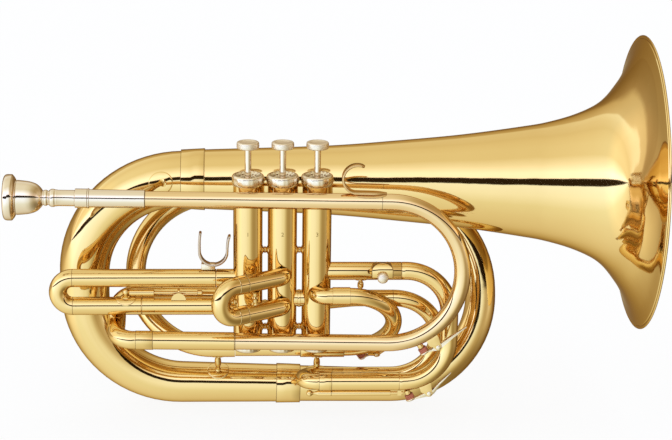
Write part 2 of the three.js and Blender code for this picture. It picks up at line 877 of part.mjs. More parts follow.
function stem() {
  const shoulder_top = casing_top_z;
  const shoulder_bottom = shoulder_top - stem_shoulder_length;
  return [
    [0, piston_well_z + seat_gap],
    [stem_radius, piston_well_z + seat_gap],
    [stem_radius, shoulder_bottom],
    [stem_shoulder_radius, shoulder_bottom],
    [stem_shoulder_radius, shoulder_top],
    [stem_radius, shoulder_top],
    [stem_radius, button_bottom_z - seat_gap],
    [0, button_bottom_z - seat_gap],
  ];
}

function button() {
  const top = button_bottom_z + button_height;
  const edge = button_height * 0.2;
  return [
    [0, button_bottom_z],
    [stem_radius, button_bottom_z],
    [button_radius - edge * 1.5, button_bottom_z + edge * 0.5],
    [button_radius, button_bottom_z + edge * 1.8],
    [button_radius, top - edge],
    [button_radius - edge, top],
    [button_inset_radius, top],
    [button_inset_radius, top - button_inset_depth],
    [0, top - button_inset_depth],
  ];
}

// Knuckle tubes and turned spacers, brazed to the middle casing

function knuckle(left, z) {
  const path = route([at(valve_x[left], 0, z), at(valve_x[left + 1], 0, z)], []);
  const middle = path.length / 2;
  const ring = strip_thickness * 0.6;
  const wide = crook_radius + ferrule_wall;
  return tube(path, [
    [0, crook_radius, crook_radius - bore_radius],
    [middle - ring, crook_radius, crook_radius - bore_radius],
    [middle - ring, wide, wide - bore_radius],
    [middle + ring, wide, wide - bore_radius],
    [middle + ring, crook_radius, crook_radius - bore_radius],
    [path.length, crook_radius, crook_radius - bore_radius],
  ]);
}

function spacer(left, z) {
  const middle = valve_spacing / 2;
  const narrow = strip_thickness * 0.4;
  return turned([
    [0, 0],
    [spacer_end, 0],
    [spacer_end, casing_radius],
    [spacer_waist, middle - narrow],
    [spacer_waist, middle + narrow],
    [spacer_end, valve_spacing - casing_radius],
    [spacer_end, valve_spacing],
    [0, valve_spacing],
  ], tube_sides, along, at(valve_x[left], 0, z));
}

function middle_casing() {
  const core = rod(at(valve_x[1], 0, casing_bottom_z - cut_overrun),
    at(valve_x[1], 0, casing_top_z + cut_overrun), casing_radius - casing_wall / 2,
    round_sides);
  const links = [
    knuckle(0, knuckle_left_z),
    knuckle(1, knuckle_right_z),
    ...spacer_heights.flatMap((z) => [spacer(0, z), spacer(1, z)]),
  ].map((piece) => cut(piece, casing_room(0), casing_room(2), core));
  return joined(casing(1), ...links);
}

for (const valve of [0, 1, 2]) {
  const axis = at(valve_x[valve], 0, 0);
  const number = valve + 1;
  const spun = (outline, sides = round_sides) => turned(outline, sides, up, axis);
  add(`valve_casing_${number}`, valve === 1 ? middle_casing() : casing(valve), brass);
  add(`top_cap_${number}`, spun(top_cap()), silver);
  add(`bottom_cap_${number}`, spun(bottom_cap()), silver);
  add(`piston_${number}`, piston(valve), monel);
  add(`valve_stem_${number}`, spun(stem(), tube_sides), silver);
  add(`finger_button_${number}`, spun(button()), silver);
  add(`valve_spring_${number}`, spun([
    [spring_radius - spring_wire, spring_bottom_z],
    [spring_radius, spring_bottom_z],
    [spring_radius, spring_top_z],
    [spring_radius - spring_wire, spring_top_z],
  ], tube_sides), steel);
}

// First valve slide: the upper leg is a sleeve on a fixed tube, the lower leg runs in a sleeve

function first_slide() {
  const half = (first_upper_z - first_lower_z) / 2;
  const path = route([
    at(first_outer_end_x, 0, first_upper_z),
    at(first_left_x, 0, first_upper_z),
    at(first_left_x, 0, first_lower_z),
    at(first_sleeve_x + first_engagement, 0, first_lower_z),
  ], [half - seat_gap / 10, half - seat_gap / 10]);
  const lower_start = path.length - first_engagement;
  const crook_start = first_outer_end_x - first_left_x - half;
  const crook_end = path.length - (first_sleeve_x + first_engagement - first_left_x - half);
  return tube(path, [
    [0, slide_radius, slide_wall],
    [crook_start, slide_radius, slide_wall],
    [crook_end, slide_radius, slide_radius - bore_radius],
    [lower_start, slide_radius, slide_radius - bore_radius],
    [lower_start, leg_radius, leg_wall],
    [path.length, leg_radius, leg_wall],
  ]);
}
add('first_slide', first_slide(), brass);

function first_upper_leg() {
  const start = first_outer_end_x - first_engagement;
  const path = route([at(start, 0, first_upper_z), at(valve_x[0], 0, first_upper_z)], []);
  const step = first_engagement + seat_gap;
  return cut(tube(path, [
    [0, leg_radius, leg_wall],
    [step, leg_radius, leg_wall],
    [step, slide_radius, slide_radius - bore_radius],
    [path.length, slide_radius, slide_radius - bore_radius],
  ]), casing_room(0));
}
add('first_slide_upper_leg', first_upper_leg(), brass);

// Thumb saddle: a strip bent to a U, on a foot on the upper leg

function thumb_saddle() {
  const bottom = saddle_bottom_z + strip_thickness / 2;
  const centre_z = bottom + saddle_half_width;
  const points = [new THREE.Vector2(saddle_x - saddle_half_width * 0.96, bottom + saddle_height)];
  const steps = bend_steps(saddle_half_width, Math.PI) * 2;
  for (let i = 0; i <= steps; i += 1) {
    const angle = Math.PI * (1 + i / steps);
    points.push(new THREE.Vector2(saddle_x + saddle_half_width * Math.cos(angle),
      centre_z + saddle_half_width * Math.sin(angle)));
  }
  points.push(new THREE.Vector2(saddle_x + saddle_half_width * 1.05,
    bottom + saddle_height * 0.92));
  const loop = strip(band(points, strip_thickness), saddle_width, 0);
  const foot_z = first_upper_z + slide_radius + seat_gap;
  const foot_top = saddle_bottom_z + strip_thickness;
  const foot = new THREE.BoxGeometry(saddle_foot_length, saddle_width * 0.9,
    foot_top - foot_z);
  foot.translate(first_outer_end_x - saddle_foot_inset - saddle_foot_length / 2, 0,
    (foot_top + foot_z) / 2);
  return joined(loop, foot);
}
add('thumb_saddle', thumb_saddle(), silver);

// First slide's stop rod, between its legs, and the guide that it runs through

function first_stop_rod() {
  const post_bottom = first_lower_z + slide_radius + seat_gap;
  const post = turned([
    [0, 0], [post_radius * 1.7, 0], [post_radius * 1.3, strip_thickness],
    [post_radius, strip_thickness * 2], [post_radius, stop_rod_z - post_bottom + nut_radius],
    [0, stop_rod_z - post_bottom + nut_radius],
  ], tube_sides, up, at(stop_post_x, 0, post_bottom));
  const bar = rod(at(stop_post_x, 0, stop_rod_z), at(stop_rod_end_x, 0, stop_rod_z), rod_radius,
    tube_sides);
  const collar = rod(at(stop_post_x, 0, stop_rod_z),
    at(stop_post_x + stop_collar_length, 0, stop_rod_z), nut_radius * 1.2);
  const nut = rod(at(stop_rod_end_x - nut_length, 0, stop_rod_z),
    at(stop_rod_end_x, 0, stop_rod_z), nut_radius);
  return joined(post, bar, collar, nut);
}
add('first_slide_stop_rod', first_stop_rod(), brass);

function first_lower_sleeve() {
  const foot_z = first_lower_z + sunk_radius;
  const sleeve = straight(at(first_sleeve_x + seat_gap, 0, first_lower_z),
    at(valve_x[0], 0, first_lower_z), slide_radius, slide_wall);
  const plate = turned([
    [rod_radius + slide_clearance * 1.5, 0], [guide_radius, 0],
    [guide_radius, guide_thickness], [rod_radius + slide_clearance * 1.5, guide_thickness],
  ], tube_sides, along, at(stop_guide_x, 0, stop_rod_z));
  const height = stop_rod_z - rod_radius - slide_clearance * 2 - foot_z;
  const foot = new THREE.BoxGeometry(guide_thickness, guide_radius * 1.4, height);
  foot.translate(stop_guide_x + guide_thickness / 2, 0, foot_z + height / 2);
  return joined(cut(sleeve, casing_room(0)), plate, foot);
}
add('first_slide_lower_sleeve', first_lower_sleeve(), brass);

// Second valve slide, swung forward to the player's right

const second_way = new THREE.Vector3(-Math.cos(second_angle), -Math.sin(second_angle), 0);
const second_at = (distance, z) => at(0, second_corner_y, z).addScaledVector(second_way, distance);

function second_sleeve(z) {
  const path = route([at(0, 0, z), at(0, second_corner_y, z),
    second_at(second_sleeve_length, z)], [second_elbow]);
  return cut(plain(path, slide_radius, slide_wall), casing_room(1));
}

function second_sleeves() {
  const place = second_sleeve_length * second_brace_share;
  const brace = rod(second_at(place, second_lower_z + sunk_radius),
    second_at(place, second_upper_z - sunk_radius), post_radius);
  return joined(second_sleeve(second_upper_z), second_sleeve(second_lower_z), brace);
}
add('second_slide_sleeves', second_sleeves(), brass);

function second_slide() {
  const half = (second_upper_z - second_lower_z) / 2;
  const leg_end = second_sleeve_length - second_engagement;
  const path = route([
    second_at(leg_end, second_upper_z),
    second_at(second_reach, second_upper_z),
    second_at(second_reach, second_lower_z),
    second_at(leg_end, second_lower_z),
  ], [half - seat_gap / 10, half - seat_gap / 10]);
  const ring = slide_radius + ferrule_wall * 0.4;
  const thick = (outer) => outer - bore_radius;
  const first = second_engagement + seat_gap;
  const second = first + second_ferrule_length;
  const far = path.length;
  return tube(path, [
    [0, leg_radius, leg_wall],
    [first, leg_radius, leg_wall],
    [first, ring, thick(ring)],
    [second, ring, thick(ring)],
    [second, slide_radius, thick(slide_radius)],
    [far - second, slide_radius, thick(slide_radius)],
    [far - second, ring, thick(ring)],
    [far - first, ring, thick(ring)],
    [far - first, leg_radius, leg_wall],
    [far, leg_radius, leg_wall],
  ]);
}
add('second_slide', second_slide(), brass);

function second_knob() {
  const middle = (second_upper_z + second_lower_z) / 2;
  const inside = second_at(second_reach - slide_radius - seat_gap, middle);
  const outline = [
    [0, 0], [knob_radius * 0.8, 0], [knob_radius * 0.5, knob_radius * 0.5],
    [knob_radius * 0.5, knob_radius * 0.9], [knob_radius, knob_radius * 1.4],
    [knob_radius, knob_radius * 2.2], [knob_radius * 0.6, knob_radius * 2.8],
    [0, knob_radius * 2.9],
  ];
  return turned(outline, tube_sides, second_way.clone().negate(), inside);
}
add('second_slide_knob', second_knob(), brass);

// Third valve slide and the rear crook that closes its loop

// A turned post between the sleeve and the rear crook below it
function rear_post() {
  const upper = at(rear_post_x, 0, third_upper_z);
  const lower = at(rear_post_x, rear_upper_y, rear_upper_z);
  const end = upper.distanceTo(lower) - crook_radius / Math.cos(Math.PI / tube_sides) - seat_gap;
  const waist = post_radius * 0.8;
  return turned([
    [0, sunk_radius],
    [post_radius * 1.5, sunk_radius],
    [post_radius * 1.5, slide_radius + strip_thickness],
    [waist, slide_radius + strip_thickness * 2],
    [waist, end - strip_thickness * 2],
    [post_radius * 1.5, end - strip_thickness],
    [post_radius * 1.5, end],
    [0, end],
  ], tube_sides, lower.sub(upper), upper);
}

function third_upper_sleeve() {
  const path = route([at(valve_x[2], 0, third_upper_z), at(third_sleeve_end_x, 0, third_upper_z)],
    []);
  const bead = slide_radius + ferrule_wall * 0.4;
  const bead_start = path.length - ferrule_wall * 2;
  const sleeve = tube(path, [
    [0, slide_radius, slide_wall],
    [bead_start, slide_radius, slide_wall],
    [bead_start, bead, slide_wall + bead - slide_radius],
    [path.length, bead, slide_wall + bead - slide_radius],
  ]);
  return joined(cut(sleeve, casing_room(2)), rear_post());
}
add('third_slide_upper_sleeve', third_upper_sleeve(), brass);

function third_lower_sleeve() {
  const turn = third_return_y / 2;
  const left_x = third_ferrule_x - turn;
  const path = route([
    at(third_sleeve_end_x, 0, third_lower_z),
    at(left_x, 0, third_lower_z),
    at(left_x, third_return_y, third_return_z),
    at(third_return_joint_x, third_return_y, third_return_z),
  ], [turn - seat_gap / 3, turn - seat_gap / 3]);
  const sleeve = third_sleeve_end_x - third_ferrule_x - third_ferrule_length;
  const ring = third_lower_radius + ferrule_wall * 0.3;
  const thick = (outer) => outer - bore_radius;
  const inner = slide_radius - slide_wall;
  return tube(path, [
    [0, third_lower_radius, third_lower_radius - inner],
    [sleeve, third_lower_radius, third_lower_radius - inner],
    [sleeve, ring, ring - inner],
    [sleeve + third_ferrule_length, ring, thick(ring)],
    [sleeve + third_ferrule_length, crook_radius, thick(crook_radius)],
    [path.length, crook_radius, thick(crook_radius)],
  ]);
}
add('third_slide_lower_sleeve', third_lower_sleeve(), brass);

function third_slide() {
  const leg_end = third_sleeve_end_x - third_engagement;
  const path = route([
    at(leg_end, 0, third_upper_z),
    at(third_right_x, 0, third_upper_z),
    at(third_right_x, 0, third_lower_z),
    at(leg_end, 0, third_lower_z),
  ], [third_bend, third_bend]);
  const step = third_engagement + seat_gap;
  const thick = slide_radius - bore_radius;
  const crook = tube(path, [
    [0, leg_radius, leg_wall],
    [step, leg_radius, leg_wall],
    [step, slide_radius, thick],
    [path.length - step, slide_radius, thick],
    [path.length - step, leg_radius, leg_wall],
    [path.length, leg_radius, leg_wall],
  ]);
  return keySeat(crook, bar(path, leg_radius - leg_wall / 2), slide_key);
}
add('third_slide', third_slide(), brass);

function rear_crook() {
  const upper = at(rear_crook_x, rear_upper_y, rear_upper_z);
  const lower = at(rear_crook_x, third_return_y, third_return_z);
  const half = upper.distanceTo(lower) / 2 - seat_gap / 10;
  const path = route([
    at(valve_x[2], 0, rear_upper_z),
    at(rear_kink_x, rear_upper_y, rear_upper_z),
    upper,
    lower,
    at(third_return_joint_x + seat_gap, third_return_y, third_return_z),
  ], [rear_kink_radius, half, half]);
  return cut(plain(path, crook_radius, crook_radius - bore_radius), casing_room(2));
}
add('third_slide_rear_crook', rear_crook(), brass);

// Third slide's stop rod, in its sleeve under the lower leg

const third_rod_z = third_lower_z - third_lower_radius - stop_sleeve_radius - seat_gap;
const third_rod_radius = rod_radius * 1.2;

function stop_sleeve() {
  const length = stop_sleeve_right_x - stop_sleeve_left_x;
  const bore = third_rod_radius + slide_clearance * 1.4;
  const neck = finial_radius * 1.6;
  const outline = [
    [0, -neck - finial_radius * 2],
    [finial_radius * 0.7, -neck - finial_radius * 1.7],
    [finial_radius, -neck - finial_radius],
    [finial_radius * 0.6, -neck],
    [stop_sleeve_radius * 0.6, -neck * 0.7],
    [stop_sleeve_radius, 0],
    [stop_sleeve_radius, length],
    [bore, length],
    [bore, strip_thickness],
    [0, strip_thickness],
  ];
  return turned(outline, tube_sides, along, at(stop_sleeve_left_x, 0, third_rod_z));
}
add('third_slide_stop_sleeve', stop_sleeve(), brass);

const third_rod_start_x = stop_sleeve_right_x - third_travel - stop_sleeve_radius * 3;

function third_stop_rod() {
  const wire = rod(at(third_rod_start_x, 0, third_rod_z), at(third_rod_end_x, 0, third_rod_z),
    third_rod_radius);
  const foot_top = third_lower_z - slide_radius - seat_gap;
  const foot_bottom = third_rod_z - stop_sleeve_radius * 0.8;
  const foot = new THREE.BoxGeometry(third_rod_foot, third_rod_foot, foot_top - foot_bottom);
  foot.translate(third_rod_end_x - third_rod_foot, 0, (foot_top + foot_bottom) / 2);
  return joined(wire, foot);
}
add('third_slide_stop_rod', third_stop_rod(), brass);

// Outlet from the third valve to the conical bows

function outlet_crook() {
  const path = route([
    at(valve_x[2], 0, outlet_z),
    at(valve_x[2], outlet_y, outlet_z),
    outlet_top,
    outlet_bottom,
    at(outlet_joint_x, lower_leg_y, lower_leg_z),
  ], [outlet_elbow, outlet_bend, outlet_bend]);
  const elbow_end = Math.abs(outlet_y) - outlet_elbow * (2 - Math.PI / 2);
  const ring_start = elbow_end + outlet_ferrule_x - valve_x[2];
  const ring_end = ring_start + outlet_ferrule_length;
  const ring = crook_radius + ferrule_wall;
  const pipe = tube(path, [
    [0, crook_radius, crook_radius - bore_radius],
    [ring_start, crook_radius, crook_radius - bore_radius],
    [ring_start, ring, ring - bore_radius],
    [ring_end, ring, ring - bore_radius],
    [ring_end, crook_radius, crook_radius - bore_radius],
    [path.length, crook_radius, crook_radius - bore_radius],
  ]);
  return keySeat(cut(pipe, casing_room(2)), bar(path, bore_radius + leg_wall), outlet_key);
}
add('outlet_crook', outlet_crook(), brass);

const low_at = (x) => at(x, lower_leg_y, lower_leg_z);
const branch_at = (x) => at(x, branch_y, branch_z);
const bell_at = (x) => at(x, bell_y, bell_z - bell_fall * x);
const bottom_at = (x) => at(x, bell_y, bottom_z - bottom_fall * x);

add('outlet_leg', straight(low_at(outlet_joint_x - seat_gap),
  low_at(outlet_leg_left_x), crook_radius, crook_radius - bore_radius), brass);

function rear_bow() {
  const lower = low_at(rear_bow_left_x);
  const upper = branch_at(rear_bow_left_x);
  const half = lower.distanceTo(upper) / 2 - seat_gap / 10;
  const path = route([
    low_at(outlet_leg_left_x - seat_gap), lower, upper, branch_at(rear_bow_left_x + half * 1.1),
  ], [half, half]);
  return tube(path, [
    [0, rear_bow_start_radius, bow_wall],
    [path.length, rear_bow_end_radius, bow_wall],
  ], tube_sides);
}
add('rear_bow', rear_bow(), brass);

const rear_half = low_at(0).distanceTo(branch_at(0)) / 2 - seat_gap / 10;
const branch_left_x = rear_bow_left_x + rear_half * 1.1 + seat_gap;
// The bottom line isn't quite square to the bow, so the bends are a little smaller than half
const front_half = bottom_at(front_bow_right_x).distanceTo(branch_at(front_bow_right_x)) *
  bow_share;
const branch_right_x = front_bow_right_x - front_half * 1.05;

function upper_branch() {
  const path = route([branch_at(branch_left_x), branch_at(branch_right_x)], []);
  return tube(path, [
    [0, rear_bow_end_radius, bow_wall],
    [path.length, branch_end_radius, bow_wall],
  ], tube_sides);
}
add('upper_branch', upper_branch(), brass);

function front_bow() {
  const path = route([
    branch_at(branch_right_x + seat_gap),
    branch_at(front_bow_right_x),
    bottom_at(front_bow_right_x),
    bottom_at(bottom_ferrule_left_x + bottom_ferrule_length / 2 + seat_gap / 2),
  ], [front_half, front_half * low_bend_share]);
  const bow_end = path.length - (front_bow_right_x - front_half - bottom_ferrule_left_x);
  return tube(path, [
    [0, branch_end_radius, bow_wall],
    [bow_end, bottom_start_radius, bow_wall],
    [path.length, bottom_ferrule_radius, bow_wall],
  ], bow_sides);
}
add('front_bow', front_bow(), brass);

const tail_path = route([
  bottom_at(bottom_ferrule_left_x + bottom_ferrule_length / 2 - seat_gap / 2),
  bottom_at(tail_left_x),
  bell_at(tail_left_x),
  bell_at(bell_start_x - bell_ferrule_length / 2),
], [tail_bend, tail_bend]);

function tail_profile(wall, extra) {
  const turn = (Math.PI / 2) * tail_bend;
  const bow_start = bottom_ferrule_left_x + bottom_ferrule_length / 2 - tail_left_x - tail_bend;
  const rise = bell_z - bottom_z - tail_bend * 2;
  return [
    [0, tail_start_radius + extra, wall],
    [bow_start, tail_bottom_radius + extra, wall],
    [bow_start + turn + rise / 2, tail_mid_radius + extra, wall],
    [tail_path.length, tail_end_radius + extra, wall],
  ];
}
add('tail_bow', tube(tail_path, tail_profile(bow_wall, 0), tail_sides), brass);

// Bell

function bell() {
  const start = bell_start_x - bell_ferrule_length / 2 + seat_gap;
  const outer = [
    [(tail_end_radius + bell_throat_radius) / 2, start],
    [bell_throat_radius, bell_start_x],
    ...bell_shares.map(([radius, distance]) => [radius * rim_radius, distance * rim_x]),
  ];
  const inner = outer.map(([radius, distance], i) => {
    const [r0, d0] = outer[Math.max(i - 1, 0)];
    const [r1, d1] = outer[Math.min(i + 1, outer.length - 1)];
    const run = Math.hypot(r1 - r0, d1 - d0);
    return [radius - (bow_wall * (d1 - d0)) / run, distance + (bow_wall * (r1 - r0)) / run];
  }).reverse();
  const rim = [
    [rim_radius - rim_bead * 0.7, rim_x - rim_bead],
    [rim_radius, rim_x - rim_bead * 0.6],
    [rim_radius + rim_bead * 0.4, rim_x],
    [rim_radius, rim_x + rim_bead * 0.6],
    [rim_radius - rim_bead, rim_x + rim_bead * 0.6],
    [rim_radius - rim_bead * 1.4, rim_x - rim_bead * 0.2],
  ];
  return turned([...outer, ...rim, ...inner], bell_sides, bell_at(rim_x).sub(bell_at(0)),
    bell_at(0));
}
add('bell', bell(), brass);

// Ferrules over the butt joints

add('bell_ferrule', ferrule(bell_at(bell_start_x - bell_ferrule_length), bell_at(bell_start_x),
  tail_end_radius, bell_throat_radius, ferrule_wall, tail_sides), brass);
add('bottom_ferrule', ferrule(bottom_at(bottom_ferrule_left_x),
  bottom_at(bottom_ferrule_left_x + bottom_ferrule_length),
  tail_start_radius, bottom_ferrule_radius, ferrule_wall, tail_sides), brass);
add('outlet_sleeve', ferrule(low_at(outlet_sleeve_left_x), low_at(outlet_sleeve_right_x),
  crook_radius, crook_radius, ferrule_wall), brass);

// Braces between the tubes, each cut clear of what it stands on

function receiver_brace() {
  const front = bell_y - tail_end_radius - flange_thickness;
  const flange_at = at(receiver_flange_x, front, receiver_flange_z);
  const foot = lead_at(receiver_brace_x);
  const post = rod(foot, flange_at.clone().addScaledVector(deep, flange_thickness),
    brace_rod_radius);
  const flange = turned([
    [0, 0],
    [flange_radius * 0.4, 0],
    [flange_radius, flange_thickness],
    [flange_radius, flange_thickness * 5],
    [0, flange_thickness * 5],
  ], round_sides, deep, flange_at);
  const receiver_room = rod(
    lead_at(receiver_start_x), lead_at(receiver_end_x),
    (receiver_radius + seat_gap) / Math.cos(Math.PI / round_sides), round_sides,
  );
  const fit = seat_gap / Math.cos(Math.PI / tail_sides);
  const tail_room = tube(tail_path, tail_profile(flange_thickness * 8, fit), tail_sides);
  return cut(joined(post, flange), receiver_room, tail_room);
}
add('receiver_brace', receiver_brace(), brass);

function bottom_brace(x, low_radius, bottom_radius) {
  const low = low_at(x);
  const bottom = bottom_at(x);
  const length = low.distanceTo(bottom);
  const start = low_radius / Math.cos(Math.PI / tube_sides) + seat_gap;
  const end = length - bottom_radius / Math.cos(Math.PI / bow_sides) - seat_gap;
  return turned([
    [0, start],
    [brace_foot_radius * 0.7, start],
    [brace_rod_radius, start + brace_foot_height],
    [brace_rod_radius, end - brace_foot_height * 2],
    [brace_foot_radius, end - brace_foot_height],
    [brace_foot_radius, end],
    [0, end],
  ], tube_sides, bottom.clone().sub(low), low);
}
add('bottom_brace_left', bottom_brace(bottom_brace_x[0], rear_bow_start_radius,
  tail_bottom_radius), brass);
add('bottom_brace_right', bottom_brace(bottom_brace_x[1],
  crook_radius + seat_gap + ferrule_wall, bottom_ferrule_radius), brass);

// Finger hook on the leadpipe: a tongue along the tube, curled up and over at its left end

function finger_hook() {
  const base_z = lead_at(hook_curl_x).z + lead_radius + strip_thickness / 2;
  const centre = new THREE.Vector2(hook_curl_x, base_z + hook_curl_radius);
  const points = [new THREE.Vector2(hook_tongue_x, base_z)];
  const steps = bend_steps(hook_curl_radius, Math.PI) * 2;
  for (let i = 0; i <= steps; i += 1) {
    const angle = -Math.PI / 2 - (Math.PI * 2 * hook_end_share * i) / steps;
    points.push(new THREE.Vector2(centre.x + hook_curl_radius * Math.cos(angle),
      centre.y + hook_curl_radius * Math.sin(angle)));
  }
  return strip(band(points, strip_thickness), hook_width, lead_y);
}
add('finger_hook', finger_hook(), gold_brass);

// Lyre holder: a socket on the front of the third slide's sleeve, with its clamp screw

const lyre_middle_x = (lyre_x[0] + lyre_x[1]) / 2;
const lyre_front_y = -slide_radius - lyre_depth;

function lyre_holder() {
  const top = third_upper_z + lyre_height * 0.45;
  const bottom = top - lyre_height;
  const body = block(lyre_x[0], lyre_x[1], lyre_front_y, -slide_radius * 0.5, bottom, top);
  const slot_y = lyre_front_y + strip_thickness * 1.5;
  const slot = block(lyre_middle_x - lyre_slot / 2, lyre_middle_x + lyre_slot / 2,
    slot_y, slot_y + lyre_slot_depth, bottom - cut_overrun, top + cut_overrun);
  const hole = rod(at(lyre_middle_x, lyre_front_y - cut_overrun, lyre_screw_z),
    at(lyre_middle_x, slot_y + cut_overrun, lyre_screw_z), lyre_screw_radius + seat_gap);
  const room = rod(at(valve_x[2], 0, third_upper_z), at(third_sleeve_end_x, 0, third_upper_z),
    (slide_radius + seat_gap) / Math.cos(Math.PI / tube_sides));
  return cut(body, slot, hole, room);
}
add('lyre_holder', lyre_holder(), brass);

function lyre_screw() {
  const head = lyre_head_radius;
  const shank = strip_thickness * 1.5 + seat_gap;
  const tip_y = lyre_front_y - seat_gap + shank;
  return turned([
    [0, 0],
    [lyre_screw_radius, 0],
    [lyre_screw_radius, shank],
    [head * 0.7, shank],
    [head * 0.95, shank + head * 0.3],
    [head, shank + head * 0.6],
    [head * 0.85, shank + head * 1.05],
    [head * 0.5, shank + head * 1.3],
    [0, shank + head * 1.4],
  ], tube_sides, deep.clone().negate(), at(lyre_middle_x, tip_y, lyre_screw_z));
}
add('lyre_screw', lyre_screw(), silver);

export default horn;
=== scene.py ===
"""Looks of the marching baritone horn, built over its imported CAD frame.

Lengths are written in millimetres, in the frame of the part, and become metres in piece().
+X points out of the bell, +Y to the player's left, +Z up along the valves.
"""

from math import ceil, copysign, cos, hypot, pi, radians, sin, sqrt, tan, tau

import bmesh
import bpy
from mathutils import Matrix, Vector

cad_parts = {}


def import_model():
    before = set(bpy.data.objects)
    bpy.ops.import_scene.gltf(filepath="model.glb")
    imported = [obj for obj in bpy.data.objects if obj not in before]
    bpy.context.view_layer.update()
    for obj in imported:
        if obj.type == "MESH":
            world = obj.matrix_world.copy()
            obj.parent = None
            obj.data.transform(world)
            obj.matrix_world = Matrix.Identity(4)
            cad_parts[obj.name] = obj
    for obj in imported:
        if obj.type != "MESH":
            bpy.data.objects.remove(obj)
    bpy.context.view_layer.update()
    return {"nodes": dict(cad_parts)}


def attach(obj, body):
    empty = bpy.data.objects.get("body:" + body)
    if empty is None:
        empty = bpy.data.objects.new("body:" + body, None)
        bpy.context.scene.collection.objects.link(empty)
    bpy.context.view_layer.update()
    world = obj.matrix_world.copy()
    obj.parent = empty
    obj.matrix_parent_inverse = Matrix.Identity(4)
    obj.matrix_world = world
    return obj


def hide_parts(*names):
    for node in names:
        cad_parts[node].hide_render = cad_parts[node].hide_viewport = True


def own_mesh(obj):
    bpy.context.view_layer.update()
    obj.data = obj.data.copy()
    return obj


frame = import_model()
scene = bpy.context.scene

MM = 0.001
GAP = 0.3  # clearance between neighbours
X, Y, Z = Vector((1, 0, 0)), Vector((0, 1, 0)), Vector((0, 0, 1))


# -------- materials

def feed(tree, node, inputs):
    """Fills a node's inputs. Each pair has an input, and its value or the output it takes."""
    for key, value in inputs:
        if isinstance(value, bpy.types.NodeSocket):
            tree.links.new(value, node.inputs[key])
        else:
            node.inputs[key].default_value = value


def add(tree, kind, inputs=(), operation=None, blend=None):
    """Adds a shader node."""
    node = tree.nodes.new("ShaderNode" + kind)
    if operation:
        node.operation = operation
    if blend:
        node.data_type = "RGBA"
        node.blend_type = blend
    feed(tree, node, inputs)
    return node


def new_material(name):
    """A material with its node tree, its shader and the object's coordinates."""
    mat = bpy.data.materials.new(name)
    mat.use_nodes = True
    tree = mat.node_tree
    place = add(tree, "TexCoord").outputs["Object"]
    return mat, tree, tree.nodes["Principled BSDF"], place


def metal(name, light, deep, rough, coat=0.0, grain=(1, 1, 1)):
    """Polished metal: slow colour drift, fine wipe marks and slightly uneven walls."""
    mat, tree, bsdf, place = new_material(name)

    def noise(scale, detail, stretch=(1, 1, 1)):
        fit = add(tree, "Mapping", [("Scale", stretch), ("Vector", place)])
        return add(tree, "TexNoise", [("Scale", scale), ("Detail", detail),
                                      ("Vector", fit.outputs["Vector"])]).outputs["Fac"]

    drift = add(tree, "Mix", [("A", (*light, 1)), ("B", (*deep, 1)), ("Factor", noise(18, 3))],
                blend="MIX")
    gloss = add(tree, "MapRange", [("To Min", rough * 0.7), ("To Max", rough * 1.4),
                                   ("Value", noise(140, 4, grain))])
    wall = add(tree, "Bump", [("Strength", 0.05), ("Distance", 0.002), ("Height", noise(55, 1))])
    wipe = add(tree, "Bump", [("Strength", 0.04), ("Distance", 0.0001),
                              ("Height", noise(1800, 2, grain)),
                              ("Normal", wall.outputs["Normal"])])
    feed(tree, bsdf, [("Metallic", 1.0), ("Coat Weight", coat), ("Coat Roughness", 0.04),
                      ("Specular Tint", EDGE_TINT), ("Base Color", drift.outputs["Result"]),
                      ("Roughness", gloss.outputs["Result"]), ("Normal", wipe.outputs["Normal"])])
    return mat


def cork_material():
    """Pressed cork: cells of two red browns, a little raised."""
    mat, tree, bsdf, place = new_material("key_cork")
    cells = add(tree, "TexVoronoi", [("Scale", 1400), ("Vector", place)]).outputs["Distance"]
    ramp = add(tree, "ValToRGB", [("Fac", cells)])
    ramp.color_ramp.elements[0].color = (0.30, 0.07, 0.04, 1)
    ramp.color_ramp.elements[1].color = (0.56, 0.175, 0.10, 1)
    ramp.color_ramp.elements[1].position = 0.7
    bump = add(tree, "Bump", [("Strength", 0.5), ("Distance", 0.0003), ("Height", cells)])
    feed(tree, bsdf, [("Base Color", ramp.outputs["Color"]), ("Normal", bump.outputs["Normal"]),
                      ("Roughness", 0.75)])
    return mat


EDGE_TINT = (0.55, 0.42, 0.28, 1)
BRASS = metal("polished_brass", (0.90, 0.665, 0.32), (0.855, 0.618, 0.281),
              0.045, coat=0.03)
GOLD = metal("polished_gold_brass", (0.911, 0.683, 0.414), (0.877, 0.648, 0.375),
             0.055, coat=0.03)
SILVER = metal("polished_silver", (0.911, 0.81, 0.72), (0.866, 0.75, 0.65), 0.08)
SATIN = metal("satin_nickel", (0.94, 0.85, 0.76), (0.91, 0.80, 0.70), 0.42)
SOFT = metal("brushed_silver", (0.93, 0.83, 0.71), (0.87, 0.76, 0.62), 0.24)
WORN = metal("worn_silver", (0.66, 0.54, 0.46), (0.56, 0.44, 0.36), 0.14)
HOOK = metal("worn_gold_brass", (0.742, 0.502, 0.266), (0.652, 0.42, 0.1875), 0.12)
# A dark colour that paints shade: the shade of the narrow grooves where tubes meet, and the shadow
# round the lyre holder's front.
SEAM_SHADE = metal("seam_shadow", (0.36, 0.222, 0.10), (0.27, 0.163, 0.07), 0.45)
PISTON = metal("lapped_alloy", (0.62, 0.58, 0.52), (0.55, 0.51, 0.45), 0.28,
               grain=(1, 1, 40))
STEEL = metal("drawn_steel", (0.50, 0.49, 0.47), (0.42, 0.41, 0.39), 0.3,
              grain=(1, 1, 8))
ETCH = metal("engraving", (0.30, 0.19, 0.05), (0.20, 0.12, 0.03), 0.35)
CORK = cork_material()

# -------- shapes

